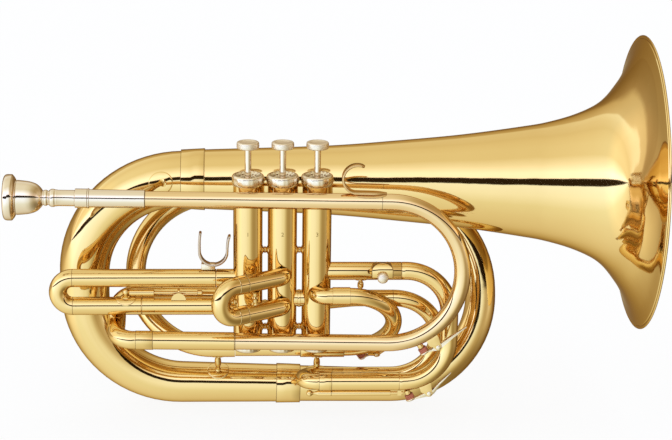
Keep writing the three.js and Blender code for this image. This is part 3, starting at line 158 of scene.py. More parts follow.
class Path:
    """A line of straights and arcs through corners, each corner rounded to its radius."""

    def __init__(self, corners, radii=()):
        corners = [Vector(c) for c in corners]
        self.parts = []
        start = corners[0]
        for i, radius in enumerate(radii, 1):
            back = (corners[i - 1] - corners[i]).normalized()
            ahead = (corners[i + 1] - corners[i]).normalized()
            turn = pi - back.angle(ahead)
            reach = radius * tan(turn / 2)
            bend = corners[i] + back * reach
            centre = corners[i] + (back + ahead).normalized() * hypot(radius, reach)
            self.parts.append((start, bend, (bend - start).length))
            self.parts.append((centre, bend - centre, radius * turn, -back, radius))
            start = corners[i] + ahead * reach
        self.parts.append((start, corners[-1], (corners[-1] - start).length))
        self.length = sum(part[2] for part in self.parts)
        self.stops = [0.0]
        gone = 0.0
        for part in self.parts:
            steps = 1
            if len(part) == 5:
                steps = max(4, ceil(part[2] / part[4] / radians(4.5)))
            self.stops += [gone + part[2] * (i + 1) / steps for i in range(steps)]
            gone += part[2]

    def at(self, where):
        left = where
        for part in self.parts:
            if left <= part[2] or part is self.parts[-1]:
                if len(part) == 3:
                    way = (part[1] - part[0]).normalized()
                    return part[0] + way * left, way
                centre, out, _, way, radius = part
                a = left / radius
                point = centre + out * cos(a) + way * (radius * sin(a))
                return point, way * cos(a) - out.normalized() * sin(a)
            left -= part[2]


def skin(rings, loop_ends=True):
    """Joins rings of equal size to a closed surface: the last ring meets the first, or the
    two ends are filled."""
    count = len(rings[0])
    verts = [v for ring in rings for v in ring]
    faces = []
    spans = len(rings) if loop_ends else len(rings) - 1
    for r in range(spans):
        a, b = r * count, ((r + 1) % len(rings)) * count
        for i in range(count):
            j = (i + 1) % count
            faces.append((a + i, a + j, b + j, b + i))
    if not loop_ends:
        faces.append(tuple(range(count)))
        faces.append(tuple(range(len(verts) - count, len(verts))))
    return verts, faces


def onto_casing(point, way, casing, outward):
    """Slides a point of a tube's end along the tube to the casing's wall."""
    x, radius = casing
    flat = Vector((point.x - x, point.y, 0))
    way = Vector((way.x, way.y, 0))
    b = flat.dot(way)
    c = flat.length_squared - radius * radius
    root = sqrt(max(b * b - c * way.length_squared, 0))
    k = (-b + (root if outward else -root)) / way.length_squared
    return point + way * k


def tube(path, profile, sides=40, start_on=None, end_on=None):
    """A hollow tube along a path. The profile lists (distance, outer radius, wall)."""
    rings = [tuple(entry) for entry in profile]
    for stop in path.stops:
        if any(abs(ring[0] - stop) < 0.25 for ring in rings):
            continue
        after = next((i for i, ring in enumerate(rings) if ring[0] > stop), 0)
        if after < 1:
            continue
        a, b = rings[after - 1], rings[after]
        share = (stop - a[0]) / (b[0] - a[0])
        rings.insert(after, (stop, a[1] + (b[1] - a[1]) * share, a[2] + (b[2] - a[2]) * share))
    outer, inner = [], []
    across = before = None
    for number, (distance, radius, wall) in enumerate(rings):
        point, way = path.at(distance)
        if before is None:
            across = Y.copy() if abs(way.y) < 0.7 else Z.copy()
        else:
            across.rotate(before.rotation_difference(way))
        across = (across - way * across.dot(way)).normalized()
        before = way
        third = way.cross(across)
        for ring, size in ((outer, radius), (inner, radius - wall)):
            row = [point + across * (size * cos(t)) + third * (size * sin(t))
                   for t in (tau * i / sides for i in range(sides))]
            if number == 0 and start_on:
                row = [onto_casing(p, way, start_on, True) for p in row]
            if number == len(rings) - 1 and end_on:
                row = [onto_casing(p, way, end_on, False) for p in row]
            ring.append(row)
    return skin(outer + inner[::-1])


def lathe(outline, way, origin, sides=48, waves=None, count=0):
    """A turned piece: the outline lists (radius, distance along the axis). It is closed on
    the axis, or onto itself where it holds a bore. Waves add a fluted edge."""
    turn = Z.rotation_difference(Vector(way).normalized()).to_matrix()
    origin = Vector(origin)
    solid = outline[0][0] < 1e-6 and outline[-1][0] < 1e-6
    rings = []
    points = outline[1:-1] if solid else outline
    for number, (radius, distance) in enumerate(points):
        swell = waves[number + (1 if solid else 0)] if waves else 0
        ring = []
        for i in range(sides):
            t = tau * i / sides
            r = radius + swell * (0.5 + 0.5 * cos(count * t))
            ring.append(origin + turn @ Vector((r * cos(t), r * sin(t), distance)))
        rings.append(ring)
    if not solid:
        return skin(rings)
    verts, faces = skin(rings, loop_ends=False)
    faces = faces[:-2]
    low, high = len(verts), len(verts) + 1
    verts += [origin + turn @ Vector((0, 0, outline[0][1])),
              origin + turn @ Vector((0, 0, outline[-1][1]))]
    last = (len(rings) - 1) * sides
    for i in range(sides):
        j = (i + 1) % sides
        faces += [(low, j, i), (high, last + i, last + j)]
    return verts, faces


def rod(start, end, radius, sides=24, edge=0.0):
    length = (Vector(end) - Vector(start)).length
    outline = [(0, 0), (radius - edge, 0), (radius, edge), (radius, length - edge),
               (radius - edge, length), (0, length)]
    if not edge:
        outline = [(0, 0), (radius, 0), (radius, length), (0, length)]
    return lathe(outline, Vector(end) - Vector(start), start, sides)


def between(p, q, t0, t1, t):
    return p * ((t1 - t) / (t1 - t0)) + q * ((t - t0) / (t1 - t0))


def eased(points, steps=6):
    """A smooth curve through the points of an outline."""
    points = [Vector(p) for p in points]
    out = []
    for i in range(len(points) - 1):
        a = points[max(i - 1, 0)]
        b, c = points[i], points[i + 1]
        d = points[min(i + 2, len(points) - 1)]
        if i == 0:
            a = b * 2 - c
        if i == len(points) - 2:
            d = c * 2 - b
        t0, t1 = 0.0, (b - a).length ** 0.5
        t2 = t1 + (c - b).length ** 0.5
        t3 = t2 + (d - c).length ** 0.5
        for k in range(steps):
            t = t1 + (t2 - t1) * k / steps
            middle = between(b, c, t1, t2, t)
            b1 = between(between(a, b, t0, t1, t), middle, t0, t2, t)
            b2 = between(middle, between(c, d, t2, t3, t), t1, t3, t)
            out.append(between(b1, b2, t1, t2, t))
    out.append(points[-1])
    return [tuple(p) for p in out]


def ribbon(points, width, thick, across=Y, taper=None):
    """A bent strip of rounded section along points in a plane square to across."""
    points = [Vector(p) for p in points]
    across = Vector(across)
    rings = []
    for i, point in enumerate(points):
        way = (points[min(i + 1, len(points) - 1)] - points[max(i - 1, 0)]).normalized()
        normal = way.cross(across).normalized()
        wide = (width if taper is None else width * taper[i]) / 2
        edge = min(thick / 2, wide) * 0.7
        ring = []
        for corner, (sx, sy) in enumerate(((1, 1), (-1, 1), (-1, -1), (1, -1))):
            for k in range(4):
                t = radians(30 * k) + corner * pi / 2
                u = sx * (wide - edge) + edge * cos(t)
                v = sy * (thick / 2 - edge) + edge * sin(t)
                ring.append(point + across * u + normal * v)
        rings.append(ring)
    return skin(rings, loop_ends=False)


def box(lo, hi):
    lo, hi = Vector(lo), Vector(hi)
    verts = [Vector((x, y, z)) for x in (lo.x, hi.x) for y in (lo.y, hi.y) for z in (lo.z, hi.z)]
    return verts, [(0, 1, 3, 2), (4, 6, 7, 5), (0, 4, 5, 1), (2, 3, 7, 6), (0, 2, 6, 4),
                   (1, 5, 7, 3)]


def slab(outline, y0, y1):
    """A flat plate from its outline in the XZ plane, from y0 to y1."""
    count = len(outline)
    verts = [Vector((x, y, z)) for y in (y0, y1) for x, z in outline]
    faces = [tuple(range(count)), tuple(range(2 * count - 1, count - 1, -1))]
    faces += [(i, (i + 1) % count, count + (i + 1) % count, count + i) for i in range(count)]
    return verts, faces


def saddle_plate(line, where, out, tube_radius, radius, thick, lean=0.0, stretch=1.0):
    """A round plate bent over a tube: it hugs the tube's surface round the direction out."""
    out = Vector(out).normalized()
    rings = []
    steps = 48
    for share, height in ((0.02, 0.0), (0.5, 0.0), (1.0, 0.0), (1.0, 0.55), (0.96, 0.85),
                          (0.88, 1.0), (0.5, 1.0), (0.02, 1.0)):
        ring = []
        for i in range(steps):
            t = tau * i / steps
            point, way = line.at(where + radius * stretch * share * cos(t))
            side = way.cross(out).normalized()
            normal = side.cross(way).normalized()
            if normal.dot(out) < 0:
                normal = -normal
            a = lean + radius * share * sin(t) / tube_radius
            far = tube_radius + 0.02 + thick * height
            ring.append(point + (normal * cos(a) + side * sin(a)) * far)
        rings.append(ring)
    return skin(rings, loop_ends=False)


def bulged(length, waist, bulge, foot):
    """The outline of a turned post: flared feet, necks, and a barrel in the middle."""
    half = [(foot, 0), (foot, 0.5), (foot * 0.75, 0.9), (waist * 1.15, 1.6), (waist, 2.3),
            (waist * 1.05, length * 0.26), (bulge * 0.9, length * 0.34), (bulge, length * 0.5)]
    other = [(r, length - d) for r, d in reversed(half[:-1])]
    return [(0, 0)] + half[:2] + eased(half[2:] + other[:-2], 3) + other[-2:] + [(0, length)]


def moved(part, matrix):
    verts, faces = part
    return [matrix @ Vector(v) for v in verts], faces


def linked(name, data):
    """A new object in the scene."""
    thing = bpy.data.objects.new(name, data)
    scene.collection.objects.link(thing)
    return thing


def piece(name, parts, material, body, *nodes, slot=None, bevel=0.0):
    """Makes one piece of the scene from shapes in millimetres."""
    if isinstance(parts, tuple):
        parts = [parts]
    verts, faces = [], []
    for part_verts, part_faces in parts:
        faces += [tuple(i + len(verts) for i in face) for face in part_faces]
        verts += [tuple(Vector(v) * MM) for v in part_verts]
    mesh = bpy.data.meshes.new(name)
    mesh.from_pydata(verts, [], faces)
    work = bmesh.new()
    work.from_mesh(mesh)
    bmesh.ops.recalc_face_normals(work, faces=work.faces)
    if bevel:
        edges = [e for e in work.edges if e.is_manifold and e.calc_face_angle() > 0.6]
        bmesh.ops.bevel(work, geom=edges, offset=bevel * MM, segments=3, profile=0.5,
                        affect="EDGES", clamp_overlap=True)
    work.to_mesh(mesh)
    work.free()
    mesh.materials.append(material)
    mesh.shade_smooth()
    mesh.set_sharp_from_angle(angle=radians(32))
    thing = linked(name, mesh)
    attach(thing, body)
    if nodes:
        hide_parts(*nodes)
    return thing


# -------- driving values

SPACING = 29
CASING_R, CASING_WALL, CASING_TOP, CASING_LOW = 12.3, 0.9, 73, -70
SLIDE_R, SLIDE_WALL, LEG_R = 7.7, 0.45, 6.6
CROOK_R, LEAD_R, LEAD_WALL = 7.15, 7.05, 0.55
# Outer radius and wall of the tubes. THICK reaches in to the bore, where no leg slides.
SLEEVE, THICK = (SLIDE_R, SLIDE_WALL), (SLIDE_R, 1.5)
LEG, CROOK = (LEG_R, 0.4), (CROOK_R, 1.2)
# Heights of the slides' two tubes.
FIRST_UP, FIRST_LOW = -13.1, -38
SECOND_UP, SECOND_LOW = -6.9, -33.5
THIRD_UP, THIRD_LOW, REAR_UP, REAR_LOW = -6.9, -107.5, -34.4, -111.5
OUTLET_UP = -23.5
ROD_Z = -26.2
IN_WALL = 9.8      # from a valve's axis to where a tube's end is cut to the casing
ARC_SLACK = 0.03   # keeps a short straight between the two arcs of a crook
# The leadpipe and its return: the ends of their slope, and their bow at the right.
LEAD_Y, LEAD_X, BOW_X, RETURN_X = -21, -171.1, 151.2, -141
LEAD_LEFT, LEAD_RIGHT, RETURN_RIGHT, RETURN_LEFT = 63.2, 59.2, -65.3, -61
# The tuning slide's near leg: its open end, its ring, and how far the two legs engage.
OPEN_X, RING_X, ENGAGED = -39.8, -123.5, 62
SPRING_FOOT = -74.7
VALVE_X = (-SPACING, 0, SPACING)
NUMBER_Z = 27.4
LEFT, MIDDLE, RIGHT = [(x, CASING_R - 0.25) for x in VALVE_X]


def lead(x):
    return Vector((x, LEAD_Y,
                   LEAD_LEFT + (LEAD_RIGHT - LEAD_LEFT) * (x - LEAD_X) / (BOW_X - LEAD_X)))


def back_line(x):
    """The line of the leadpipe's return: it rises a little to the left."""
    rise = (RETURN_LEFT - RETURN_RIGHT) * (x - BOW_X) / (RETURN_X - BOW_X)
    return Vector((x, LEAD_Y, RETURN_RIGHT + rise))


def tuning_far(x):
    return Vector((x, 22.5, -35.4 + (x - RETURN_X) * 4.3 / (RETURN_X - BOW_X)))


def low(x):
    return Vector((x, 28, -86.8))


def branch(x):
    return Vector((x, 98, 31.8))


def bell_line(x):
    return Vector((x, 52, 58.8 - 0.006 * x))


def bottom(x):
    return Vector((x, 52, -129.1 - 0.018 * x))


LEAD_WAY = (lead(BOW_X) - lead(LEAD_X)).normalized()


# -------- mouthpiece and leadpipe

cup = eased([(13.4, 2.9), (15.2, 1.7), (16.6, 1.5), (17.9, 2.1), (18.8, 3.2), (19.1, 4.6)], 4)
cup += [(19.1, 8.0), (18.8, 8.6), (17.0, 10.1), (15.4, 11.0), (14.3, 11.4), (14.1, 11.9),
        (14.4, 12.3)]
cup += eased([(14.4, 12.9), (14.1, 16.5), (13.6, 21), (12.7, 25), (11.0, 28.8), (8.5, 31.6),
              (6.1, 33.4)], 4)
cup += eased([(6.1, 34.2), (6.5, 34.7), (6.5, 36.7), (6.0, 37.2), (5.8, 37.9), (6.2, 38.6),
              (7.0, 39.5), (7.4, 40.4), (7.4, 42.6), (7.1, 43.3), (6.9, 45)], 3)
cup += [(6.7, 45.6), (6.7, 59.3), (6.2, 59.35), (5.6, 85.7), (4.7, 85.7)]
cup += eased([(3.4, 44), (3.3, 30), (3.6, 25), (5.2, 21.5), (7.8, 17), (10, 11), (11.6, 6.6),
              (12.5, 4.2)], 4)
piece("mouthpiece_cup", lathe(cup, LEAD_WAY, lead(-230.8), 72), SILVER, "mouthpiece_body",
      "mouthpiece")

collar = [(7.7, 0), (8, 0.3), (8, 9.9), (7.75, 10.0), (7.75, 10.25), (8.35, 10.4), (8.4, 10.9),
          (8.35, 11.4), (7.7, 11.5), (7.5, 11.75), (7.5, 57.1), (7.25, 57.4), (5.9, 57.4),
          (5.9, 28), (6.65, 28), (6.65, 0)]
piece("receiver_tube", lathe(collar, LEAD_WAY, lead(LEAD_X), 56), SILVER, "horn",
      "mouthpiece_receiver", slot="nickel_silver")

pipe = Path([lead(-113.4), lead(82)])
piece("leadpipe_tube", tube(pipe, [(0, 6.6, LEAD_WALL), (pipe.length, LEAD_R, LEAD_WALL)]),
      GOLD, "horn", "leadpipe")

lead_bend = (LEAD_RIGHT - RETURN_RIGHT) / 2 - GAP
leg_end = RING_X + (OPEN_X - RING_X - ENGAGED)
bow = Path([lead(82.3), lead(BOW_X), back_line(BOW_X), back_line(leg_end)], [lead_bend] * 2)
leg_start = bow.length - (OPEN_X - leg_end)
bow_tube = tube(bow, [(0, LEAD_R, LEAD_WALL), (leg_start - 6, LEAD_R, LEAD_WALL),
                      (leg_start - 0.3, LEAD_R, 1.1), (leg_start, LEAD_R - 0.3, 0.8),
                      (leg_start, *LEG), (bow.length, *LEG)], 44)

# -------- main tuning slide

slide = Path([back_line(-40.1), back_line(RETURN_X), Vector((RETURN_X, 8, -55)),
              tuning_far(RETURN_X), tuning_far(-73)], [15.5, 16, 15.5])
ring_end = OPEN_X - RING_X
ring_start = ring_end - 14.7
far_start = slide.length - 31
piece("tuning_slide_tube", tube(slide, [
    (0, SLIDE_R - 0.2, 0.3), (0.25, *SLEEVE), (ring_start, *SLEEVE),
    (ring_start, SLIDE_R + 0.25, 0.7), (ring_start + 0.2, SLIDE_R + 0.35, 0.8),
    (ring_end - 0.2, SLIDE_R + 0.35, 1.85), (ring_end, SLIDE_R + 0.2, 1.7),
    (ring_end, *THICK), (far_start, *THICK), (far_start, *LEG),
    (slide.length, *LEG)], 44), BRASS, "tuning_slide_body", "main_tuning_slide")

turn_in = tuning_far(-SPACING)
inlet = Path([tuning_far(-103.7), turn_in, Vector((-SPACING, 0, turn_in.z))], [10.5])
inlet_in = inlet.length - CASING_R
piece("tuning_inlet_tube", tube(inlet, [
    (0, SLIDE_R + 0.35, 0.8), (1.6, SLIDE_R + 0.35, 0.8), (1.6, *SLEEVE),
    (inlet_in, *SLEEVE)], end_on=LEFT), BRASS, "horn", "tuning_slide_inlet")

# -------- valves

for number, x in enumerate(VALVE_X, 1):
    axis = Vector((x, 0, 0))
    body = f"valve_{number}"
    bore = CASING_R - CASING_WALL
    piece(f"casing_{number}_tube", lathe([(CASING_R, CASING_LOW), (CASING_R, CASING_TOP),
                                          (bore, CASING_TOP), (bore, CASING_LOW)], Z, axis, 72),
          BRASS, "horn", f"valve_casing_{number}")

    flutes = 18
    rim = [(radius, 76.1 + rise) for radius, rise in (
        (3.4, -2.6), (3.4, -0.9), (3.7, -0.5), (4.4, -0.9), (5.4, -1.3), (6.7, -1.1),
        (8.0, -0.5), (9.2, 0.3), (10.3, 1.2), (11.2, 1.75), (12.0, 1.75), (12.8, 1.3),
        (13.35, 0.5), (13.6, -0.7), (13.6, -2.4), (13.6, -4.0), (13.4, -5.3), (13.0, -6.2),
        (12.7, -6.7), (12.62, -6.8), (12.62, -2.6))]
    waves = [0, 0, 0, 0, 0.8, -1.2, 1.3, -1.3, 1.0, -0.3, 0, -0.05, -0.12, -0.16, -0.16, -0.16,
             -0.14, -0.05, 0, 0, 0]
    piece(f"top_cap_{number}_crown", lathe(rim, Z, axis, 160, waves, flutes), SOFT, "horn",
          f"top_cap_{number}")

    cap = [(2, -77.5), (2.3, -77.8), (9.5, -77.8), (10.2, -77.6), (11.6, -76.9), (12.6, -75.8),
           (13.1, -74.6), (13.2, -73.4), (13.2, -68.2), (12.95, -67.4), (12.62, -67.2),
           (12.62, -70.3), (11.4, -70.3), (11.4, -75), (2, -75)]
    waves = [0] * 6 + [-0.1, -0.3, -0.3] + [0] * 6
    piece(f"bottom_cap_{number}_shell", lathe(cap, Z, axis, 144, waves, 24), SILVER, "horn",
          f"bottom_cap_{number}", slot="nickel_silver")

    stem = [(0, 3.3), (2.8, 3.3), (2.8, 61), (4.6, 61), (5, 61.4), (5, 72.6), (4.6, 73), (2.8, 73),
            (2.8, 99.8), (0, 99.8)]
    piece(f"stem_{number}_rod", lathe(stem, Z, axis, 40), SILVER, body, f"valve_stem_{number}",
          slot="nickel_silver")
    button = [(0, 100.4)] + eased([(2.8, 100.4), (5.5, 100.42), (8.3, 100.5), (9.1, 100.9),
                                   (9.4, 101.8), (9.4, 104.4), (9.25, 105.3), (8.7, 105.85),
                                   (7.9, 106)], 4)
    button += [(7.0, 106), (6.6, 105.75), (3.4, 105.45), (0, 105.35)]
    piece(f"finger_button_{number}_cap", lathe(button, Z, axis, 64), SATIN, body,
          f"finger_button_{number}")
    piston = frame["nodes"][f"piston_{number}"]
    piston.data.materials.clear()
    piston.data.materials.append(PISTON)

    turns, wire, size = 6, 0.8, 7.2
    foot, head = SPRING_FOOT + wire, -46.3 - wire
    rings = []
    steps = turns * 24
    for i in range(steps + 1):
        t = tau * i / 24
        rise = i / steps
        out = Vector((cos(t), sin(t), 0))
        height = foot + (head - foot) * rise
        centre = axis + out * size + Z * height
        rings.append([centre + out * (wire * cos(a)) + Z * (wire * sin(a))
                      for a in (tau * k / 10 for k in range(10))])
    spring = piece(f"spring_{number}_coil", skin(rings, False), STEEL, "horn",
                   f"valve_spring_{number}")
    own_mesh(spring)

links = []
for left, height in ((0, -40.3), (1, -31.2)):
    a, b = VALVE_X[left], VALVE_X[left + 1]
    line = Path([(a, 0, height), (b, 0, height)])
    r = CROOK_R
    links.append(tube(line, [(9.8, r, 1.2), (13.2, r, 1.2), (13.4, r + 0.3, 1.5),
                             (13.8, r + 0.35, 1.55), (15.2, r + 0.35, 1.55), (15.6, r + 0.3, 1.5),
                             (15.8, r, 1.2), (19.2, r, 1.2)],
                      start_on=(a, CASING_R - 0.1), end_on=(b, CASING_R - 0.1)))
for left in (0, 1):
    for height in (12.1, -56.5):
        half = eased([(4.4, 11.3), (4.0, 12.1), (3.1, 12.8), (2.3, 13.2), (2.1, 13.5)], 3)
        half += [(2.9, 13.75), (3.0, 14.0), (2.9, 14.25), (2.2, 14.4), (2.2, 14.5)]
        other = [(r, 29 - d) for r, d in reversed(half[:-1])]
        links.append(lathe([(0, 11.3)] + half + other + [(0, 17.7)], X,
                           (VALVE_X[left], 0, height), 32))
piece("valve_links", links, BRASS, "horn")

# -------- first slide

half = (FIRST_UP - FIRST_LOW) / 2 - ARC_SLACK
first = Path([(-55.9, 0, FIRST_UP), (-189.5, 0, FIRST_UP), (-189.5, 0, FIRST_LOW),
              (-69.3, 0, FIRST_LOW)], [half, half])
step = first.length - 50
crook_in = 133.6 - half
crook_out = first.length - (120.2 - half)
piece("first_slide_tube", tube(first, [
    (0, SLIDE_R - 0.15, 0.3), (0.2, *SLEEVE), (crook_in, *SLEEVE),
    (crook_out, *THICK), (step - 0.2, *THICK), (step, SLIDE_R - 0.2, 1.3),
    (step, *LEG), (first.length, *LEG)], 44), BRASS, "first_slide_body", "first_slide")
leg = Path([(-105.9, 0, FIRST_UP), (-SPACING, 0, FIRST_UP)])
piece("first_upper_leg_tube", tube(leg, [
    (0, *LEG), (50.3, *LEG), (50.3, SLIDE_R - 0.15, 1.3), (50.5, *THICK),
    (leg.length - IN_WALL, *THICK)], end_on=LEFT), BRASS, "horn", "first_slide_upper_leg")
guide = [(1.65, 0), (3.2, 0), (3.4, 0.2), (3.4, 1.6), (3.2, 1.8), (1.65, 1.8)]
leg = Path([(-119, 0, FIRST_LOW), (-SPACING, 0, FIRST_LOW)])
piece("first_lower_sleeve_tube", [
    tube(leg, [(0, SLIDE_R - 0.15, 0.3), (0.2, *SLEEVE),
               (leg.length - IN_WALL, *SLEEVE)], end_on=LEFT),
    lathe(guide, X, (-88.5, 0, ROD_Z), 32),
    slab([(-87.6 + 6.2 * cos(pi * i / 24), -31.5 + 6.2 * sin(pi * i / 24))
          for i in range(25)], -4.7, -3.3),
    box((-88.5, -3.4, -31.2), (-86.7, 1.5, -28.6))],
    BRASS, "horn", "first_slide_lower_sleeve")
bead = [(0, 0)] + eased([(1.6, 0.1), (1.8, 0.8), (2.6, 1.5), (3.1, 3.0), (2.9, 4.6), (1.8, 6.0),
                         (0.8, 6.4)], 4) + [(0, 6.5)]


def stop_rod(start, end, radius, *sides, edge=0.0):
    return rod((start, 0, ROD_Z), (end, 0, ROD_Z), radius, *sides, edge=edge)


piece("first_stop_rod", [
    saddle_plate(Path([(-150, 0, FIRST_LOW), (-110, 0, FIRST_LOW)]), 17.8, (0, -0.15, 0.99),
                 SLIDE_R, 8.6, 0.6),
    lathe([(0, 0), (5.2, 0)] + eased([(4.4, 1.0), (2.9, 2.0), (1.7, 2.6)], 3) + [(0, 2.7)], Z,
          (-132.2, 0, -30.4), 32),
    lathe(bead, Z, (-132.2, 0, -28.9), 32),
    stop_rod(-132.2, -67.9, 1.2),
    stop_rod(-129.6, -108.2, 2.9, 32, edge=0.5),
    stop_rod(-122.6, -121.9, 3.05, 32),
    stop_rod(-71.9, -67.9, 2.2, edge=0.3)],
    BRASS, "first_slide_body", "first_slide_stop_rod")

arc = [(-69.0, 0, 26.6), (-69.3, 0, 24.5), (-69.75, 0, 20), (-69.85, 0, 15)]
arc += [(-58.1 + 11.7 * cos(t), 0, 10.6 + 11.9 * sin(t))
        for t in (pi * (1 + i / 24) for i in range(1, 24))]
arc += [(-46.35, 0, 14), (-46.0, 0, 18), (-45.4, 0, 21.5), (-44.7, 0, 23.6)]
arc = eased(arc, 2)
piece("thumb_saddle_strip", [
    ribbon(arc, 7, 2.2),
    rod((-69.0, -3.5, 26.5), (-69.0, 3.5, 26.5), 1.15, 20, edge=0.3),
    rod((-44.6, -3.5, 23.7), (-44.6, 3.5, 23.7), 1.15, 20, edge=0.3),
    ], WORN, "first_slide_body", "thumb_saddle")
piece("thumb_saddle_foot", box((-68.3, -3.1, -5.1), (-56.6, 3.1, 0.2)), SOFT,
      "first_slide_body", bevel=0.6)

# -------- second slide

swing = radians(32)
WAY2 = Vector((-cos(swing), -sin(swing), 0))


def second(distance, z):
    return Vector((0, -16, z)) + WAY2 * distance


sleeves = []
for z in (SECOND_UP, SECOND_LOW):
    line = Path([(0, 0, z), (0, -16, z), second(36.5, z)], [8.5])
    sleeves.append(tube(line, [(IN_WALL, *SLEEVE), (line.length - 0.2, *SLEEVE),
                               (line.length, SLIDE_R - 0.15, 0.3)], start_on=MIDDLE))
post = [(0, 0), (3.6, 0), (3.0, 0.9), (2.0, 1.9), (1.9, 4.2), (2.6, 4.7), (3.0, 5.7), (2.6, 6.7),
        (1.9, 7.2), (2.0, 9.5), (3.0, 10.5), (3.6, 11.4), (0, 11.4)]
sleeves.append(lathe(post, Z, second(27, SECOND_LOW + SLIDE_R - 0.2), 32))
piece("second_sleeve_tubes", sleeves, BRASS, "horn", "second_slide_sleeves")
half = 13.3 - ARC_SLACK
crook = Path([second(16.5, SECOND_UP), second(60.7, SECOND_UP), second(60.7, SECOND_LOW),
              second(16.5, SECOND_LOW)], [half, half])
end = crook.length


def rings2(s):
    return [(s(20), *LEG), (s(20.3), *LEG), (s(20.3), SLIDE_R + 0.05, 1.5),
            (s(20.5), SLIDE_R + 0.24, 1.75), (s(28.6), SLIDE_R + 0.24, 1.75),
            (s(28.8), SLIDE_R + 0.05, 1.5), (s(28.8), *THICK)]


piece("second_slide_tube", tube(crook, [(0, *LEG)] + rings2(lambda d: d)
                                + rings2(lambda d: end - d)[::-1] + [(end, *LEG)], 44),
      BRASS, "second_slide_body", "second_slide")
knob = [(0, 0)] + eased([(2.7, 0), (2.2, 0.6), (1.5, 1.4), (1.4, 2.4), (1.9, 3.1), (2.8, 3.7),
                         (3.0, 4.6), (2.9, 5.8), (2.4, 7.0), (1.2, 8.2)], 3) + [(0, 8.6)]
piece("second_slide_button", lathe(knob, -WAY2, second(60.7 - SLIDE_R - GAP, -20.2), 36), BRASS,
      "second_slide_body", "second_slide_knob")

# -------- third slide

line = Path([(SPACING, 0, THIRD_UP), (101.3, 0, THIRD_UP)])
piece("third_upper_sleeve_tube", tube(line, [
    (IN_WALL, *SLEEVE), (line.length - 0.2, *SLEEVE), (line.length, SLIDE_R - 0.12, 0.33)],
    start_on=RIGHT), BRASS, "horn", "third_slide_upper_sleeve")
line = Path([(101.3, 0, THIRD_LOW), (19.4, 0, THIRD_LOW), (19.4, 26, REAR_LOW),
             (45, 26, REAR_LOW)], [12.9, 12.9])
sleeve = 101.3 - 32.4 - 10.6
piece("third_lower_sleeve_tube", tube(line, [
    (0, 7.75, 0.75), (0.2, 7.9, 0.9), (sleeve, 7.9, 0.9), (sleeve, 8.05, 1.05),
    (sleeve + 0.2, 8.1, 1.1), (sleeve + 10.4, 8.1, 2.1), (sleeve + 10.6, 8.0, 2.0),
    (sleeve + 10.6, *CROOK), (line.length, *CROOK)], 44),
    BRASS, "horn", "third_slide_lower_sleeve")
third = Path([(51.3, 0, THIRD_UP), (143.4, 0, THIRD_UP), (143.4, 0, THIRD_LOW),
              (51.3, 0, THIRD_LOW)], [38, 38])
third_tube = tube(third, [
    (0, *LEG), (50.3, *LEG), (50.3, SLIDE_R - 0.1, 1.4), (50.5, *THICK),
    (third.length - 50.5, *THICK), (third.length - 50.3, SLIDE_R - 0.1, 1.4),
    (third.length - 50.3, *LEG), (third.length, *LEG)], 44)
upper, lower = Vector((135.3, 9, REAR_UP)), Vector((135.3, 26, REAR_LOW))
half = (upper - lower).length / 2 - ARC_SLACK
line = Path([(SPACING, 0, REAR_UP), (62, 9, REAR_UP), upper, lower, (45.3, 26, REAR_LOW)],
            [30, half, half])
piece("third_rear_crook_tube", tube(line, [
    (IN_WALL, *CROOK), (line.length, *CROOK)], start_on=RIGHT), BRASS, "horn",
    "third_slide_rear_crook")
rod_z = THIRD_LOW - 7.9 - 2.5 - GAP
outline = [(0, -10.1)] + eased([(0.9, -10.0), (2.1, -9.3), (2.8, -7.6), (2.5, -6), (1.5, -4.8),
                                (1.2, -3.6), (1.7, -1.6), (2.5, 0)], 3)
outline += [(2.5, 62.5), (2.35, 62.7), (1.85, 62.7), (1.85, 1.3), (0, 1.3)]
piece("third_stop_sleeve_tube", lathe(outline, X, (31.6, 0, rod_z), 32), BRASS, "horn",
      "third_slide_stop_sleeve")
piece("third_stop_rod_wire", [
    rod((42.5, 0, rod_z), (105.4, 0, rod_z), 1.44, edge=0.3),
    box((100.3, -1.7, rod_z - 1.8), (103.7, 1.7, THIRD_LOW - SLIDE_R - 0.1))],
    BRASS, "third_slide_body", "third_slide_stop_rod")

# -------- outlet

outlet_top, outlet_low = Vector((96, -18, OUTLET_UP)), low(96)
outlet_bend = (outlet_top - outlet_low).length / 2 - ARC_SLACK
line = Path([(SPACING, 0, OUTLET_UP), (SPACING, -18, OUTLET_UP), outlet_top, outlet_low, low(52)],
            [9, outlet_bend, outlet_bend])
elbow = 18 - 9 * (2 - pi / 2)
r0 = elbow + 42.2 - SPACING
outlet_tube = tube(line, [
    (IN_WALL, *CROOK), (r0, *CROOK), (r0, CROOK_R + 0.4, 1.6),
    (r0 + 0.2, CROOK_R + 0.6, 1.8), (r0 + 14.8, CROOK_R + 0.6, 1.8),
    (r0 + 15, CROOK_R + 0.4, 1.6), (r0 + 15, *CROOK),
    (line.length, *CROOK)], 44, start_on=RIGHT)
leg = Path([low(51.7), low(-40)])
piece("outlet_leg_tube", tube(leg, [(0, *CROOK), (leg.length, *CROOK)]), BRASS, "horn",
      "outlet_leg")
piece("outlet_joint_sleeve", lathe([
    (7.5, 0), (8.0, 0.1), (8.15, 0.4), (8.15, 38.1), (8.0, 38.4), (7.5, 38.5)], X, low(16.5), 48),
    BRASS, "horn", "outlet_sleeve")

# -------- conical bows and bell

def cone(name, node, path, rings, sides=48):
    """A conical tube of the horn: the rings list (distance, outer radius)."""
    piece(name, tube(path, [(d, r, 0.8) for d, r in rings], sides), BRASS, "horn", node)


